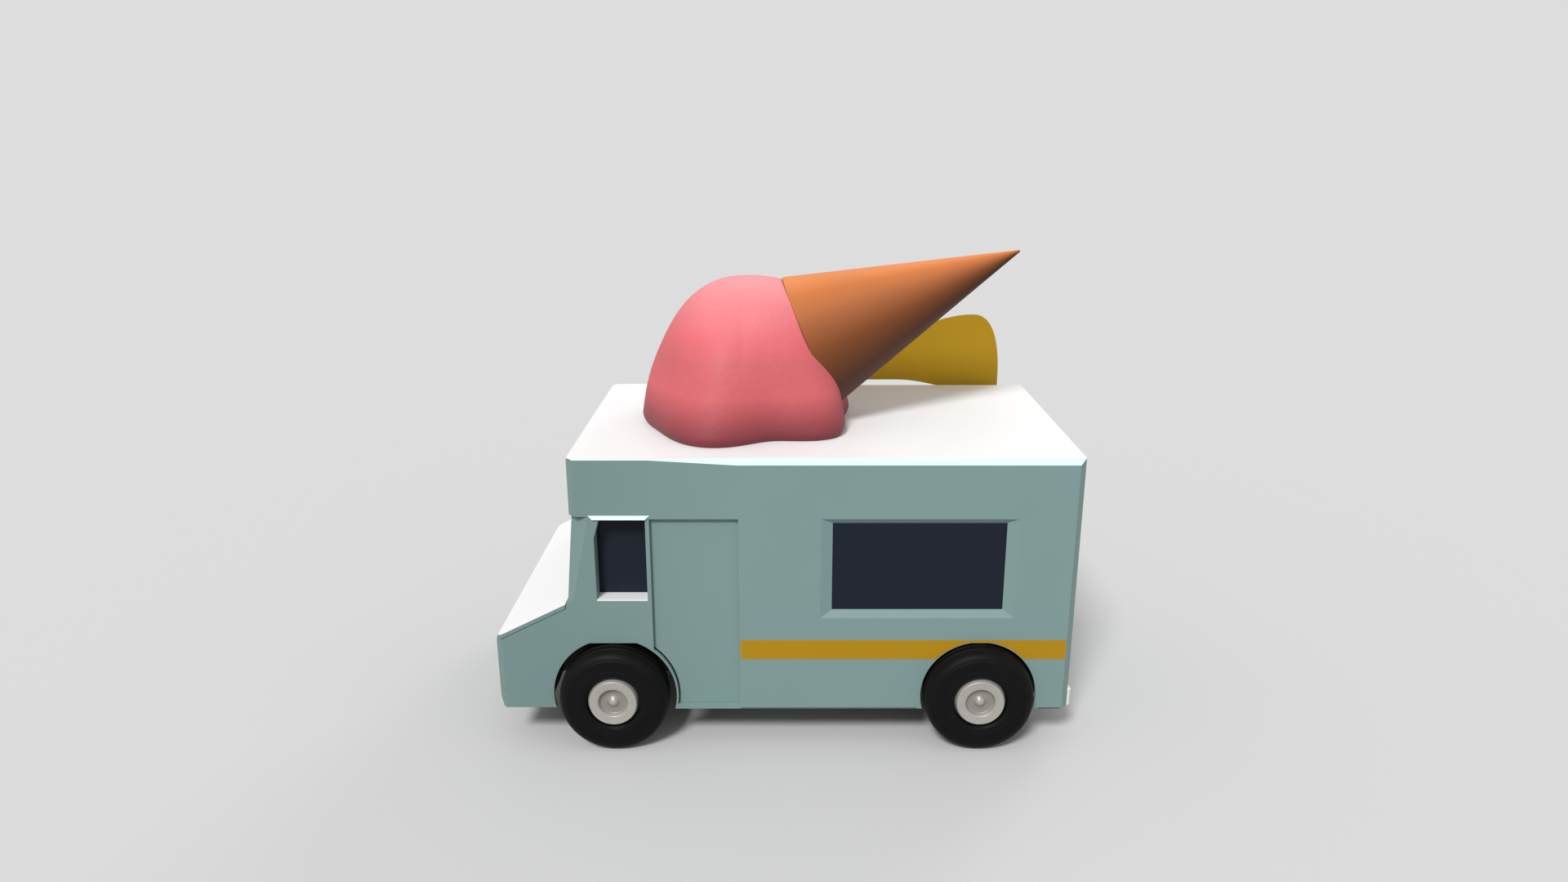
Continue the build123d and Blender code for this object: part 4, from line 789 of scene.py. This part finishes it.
vinyl = finish("seat_vinyl", "26292b", gloss=0.5, drift=0.1, cloud=10.0, grain=380.0, lift=0.0009)
seat_foam = pad_skin("seat_pad_skin", "seat_cushion", crown_axis=2, channel_axis=1, channels=cushion_channels)
cushion = piece("seat_pad", seat_foam, vinyl, "body", "seat_vinyl", "seat_cushion", crease=pad_crease)
back_foam = pad_skin("back_pad_skin", "seat_back", crown_axis=0, channel_axis=2, channels=back_channels)
backrest = piece("back_pad", back_foam, vinyl, "body", "seat_vinyl", "seat_back", crease=pad_crease)

# Studio: a pale floor that runs out to the horizon, under a backdrop of the same light grey.
# Both give the vehicle less light than the eye sees in them, so its undersides stay deep.
backdrop_grey = 0.723
backdrop_dim = 0.5
floor_half = 60.0
floor_tone = 0.683         # seen by the eye and in reflections
floor_dim = 0.25           # to light that bounces on to the vehicle


def seen_straight(nodes, links):
    """One for light that reaches the eye straight, by a reflection or through glass, else nothing"""
    path_kind = nodes.new("ShaderNodeLightPath")
    kinds = path_kind.outputs["Is Camera Ray"]
    for kind in ("Is Glossy Ray", "Is Transmission Ray"):
        either = nodes.new("ShaderNodeMath")
        either.operation = "MAXIMUM"
        links.new(kinds, either.inputs[0])
        links.new(path_kind.outputs[kind], either.inputs[1])
        kinds = either.outputs["Value"]
    return kinds


floor_points = np.array([[(x, y, 0.0) for x in (-floor_half, floor_half)] for y in (-floor_half, floor_half)])
studio_floor = bpy.data.objects.new("studio_floor", skin("floor_skin", floor_points))
floor_coat = bpy.data.materials.new("studio_grey")
floor_coat.use_nodes = True
nodes, links = floor_coat.node_tree.nodes, floor_coat.node_tree.links
floor_tint = nodes.new("ShaderNodeMix")
floor_tint.data_type = "RGBA"
floor_tint.inputs["A"].default_value = rgba(np.full(3, floor_dim))
floor_tint.inputs["B"].default_value = rgba(np.full(3, floor_tone))
links.new(seen_straight(nodes, links), floor_tint.inputs["Factor"])
matt = nodes["Principled BSDF"]
matt.inputs["Roughness"].default_value = 1.0
matt.inputs["Specular IOR Level"].default_value = 0.0
links.new(floor_tint.outputs["Result"], matt.inputs["Base Color"])
studio_floor.data.materials.append(floor_coat)
bpy.context.scene.collection.objects.link(studio_floor)

world = bpy.data.worlds.new("studio")
bpy.context.scene.world = world
world.use_nodes = True
nodes, links = world.node_tree.nodes, world.node_tree.links
unseen = nodes["Background"]
seen = nodes.new("ShaderNodeBackground")
for backdrop, strength in ((unseen, backdrop_dim), (seen, backdrop_grey)):
    backdrop.inputs["Color"].default_value = rgba(np.ones(3))
    backdrop.inputs["Strength"].default_value = strength
both = nodes.new("ShaderNodeMixShader")
links.new(seen_straight(nodes, links), both.inputs["Fac"])
links.new(unseen.outputs["Background"], both.inputs[1])
links.new(seen.outputs["Background"], both.inputs[2])
links.new(both.outputs["Shader"], nodes["World Output"].inputs["Surface"])

# Lamps and camera: a soft key lamp from the front left, a weak one behind on the right, and the eye.
# The eye stands off the left side, higher than the tip of the cone, and looks a little down.
focal_length = 24.44       # millimetres, as the film's width is
film_width = 36.0
eye_place = (0.015, 8.431, 4.61)
eye_tilt = 73.4            # degrees up from straight down
# name, strength, soft angle in degrees, where it shines from as front, left and up
lamps = [("key_lamp", 2.2, 14.0, (0.25, 0.66, 0.71)), ("rim_lamp", 0.4, 20.0, (-0.5, -0.7, 0.5))]
for name, strength, spread, source in lamps:
    lamp = bpy.data.lights.new(name, "SUN")
    lamp.energy = strength
    lamp.angle = np.radians(spread)
    holder = bpy.data.objects.new(name, lamp)
    bpy.context.scene.collection.objects.link(holder)
    front, left, up = source
    holder.rotation_euler = (0, np.arctan2(np.hypot(front, left), up), np.arctan2(left, front))

camera = bpy.data.cameras.new("camera")
camera.lens = focal_length
camera.sensor_width = film_width
viewer = bpy.data.objects.new("camera", camera)
viewer.location = eye_place
viewer.rotation_euler = (np.radians(eye_tilt), 0, np.pi)
bpy.context.scene.collection.objects.link(viewer)
bpy.context.scene.camera = viewer
bpy.context.scene.view_settings.view_transform = "Standard"
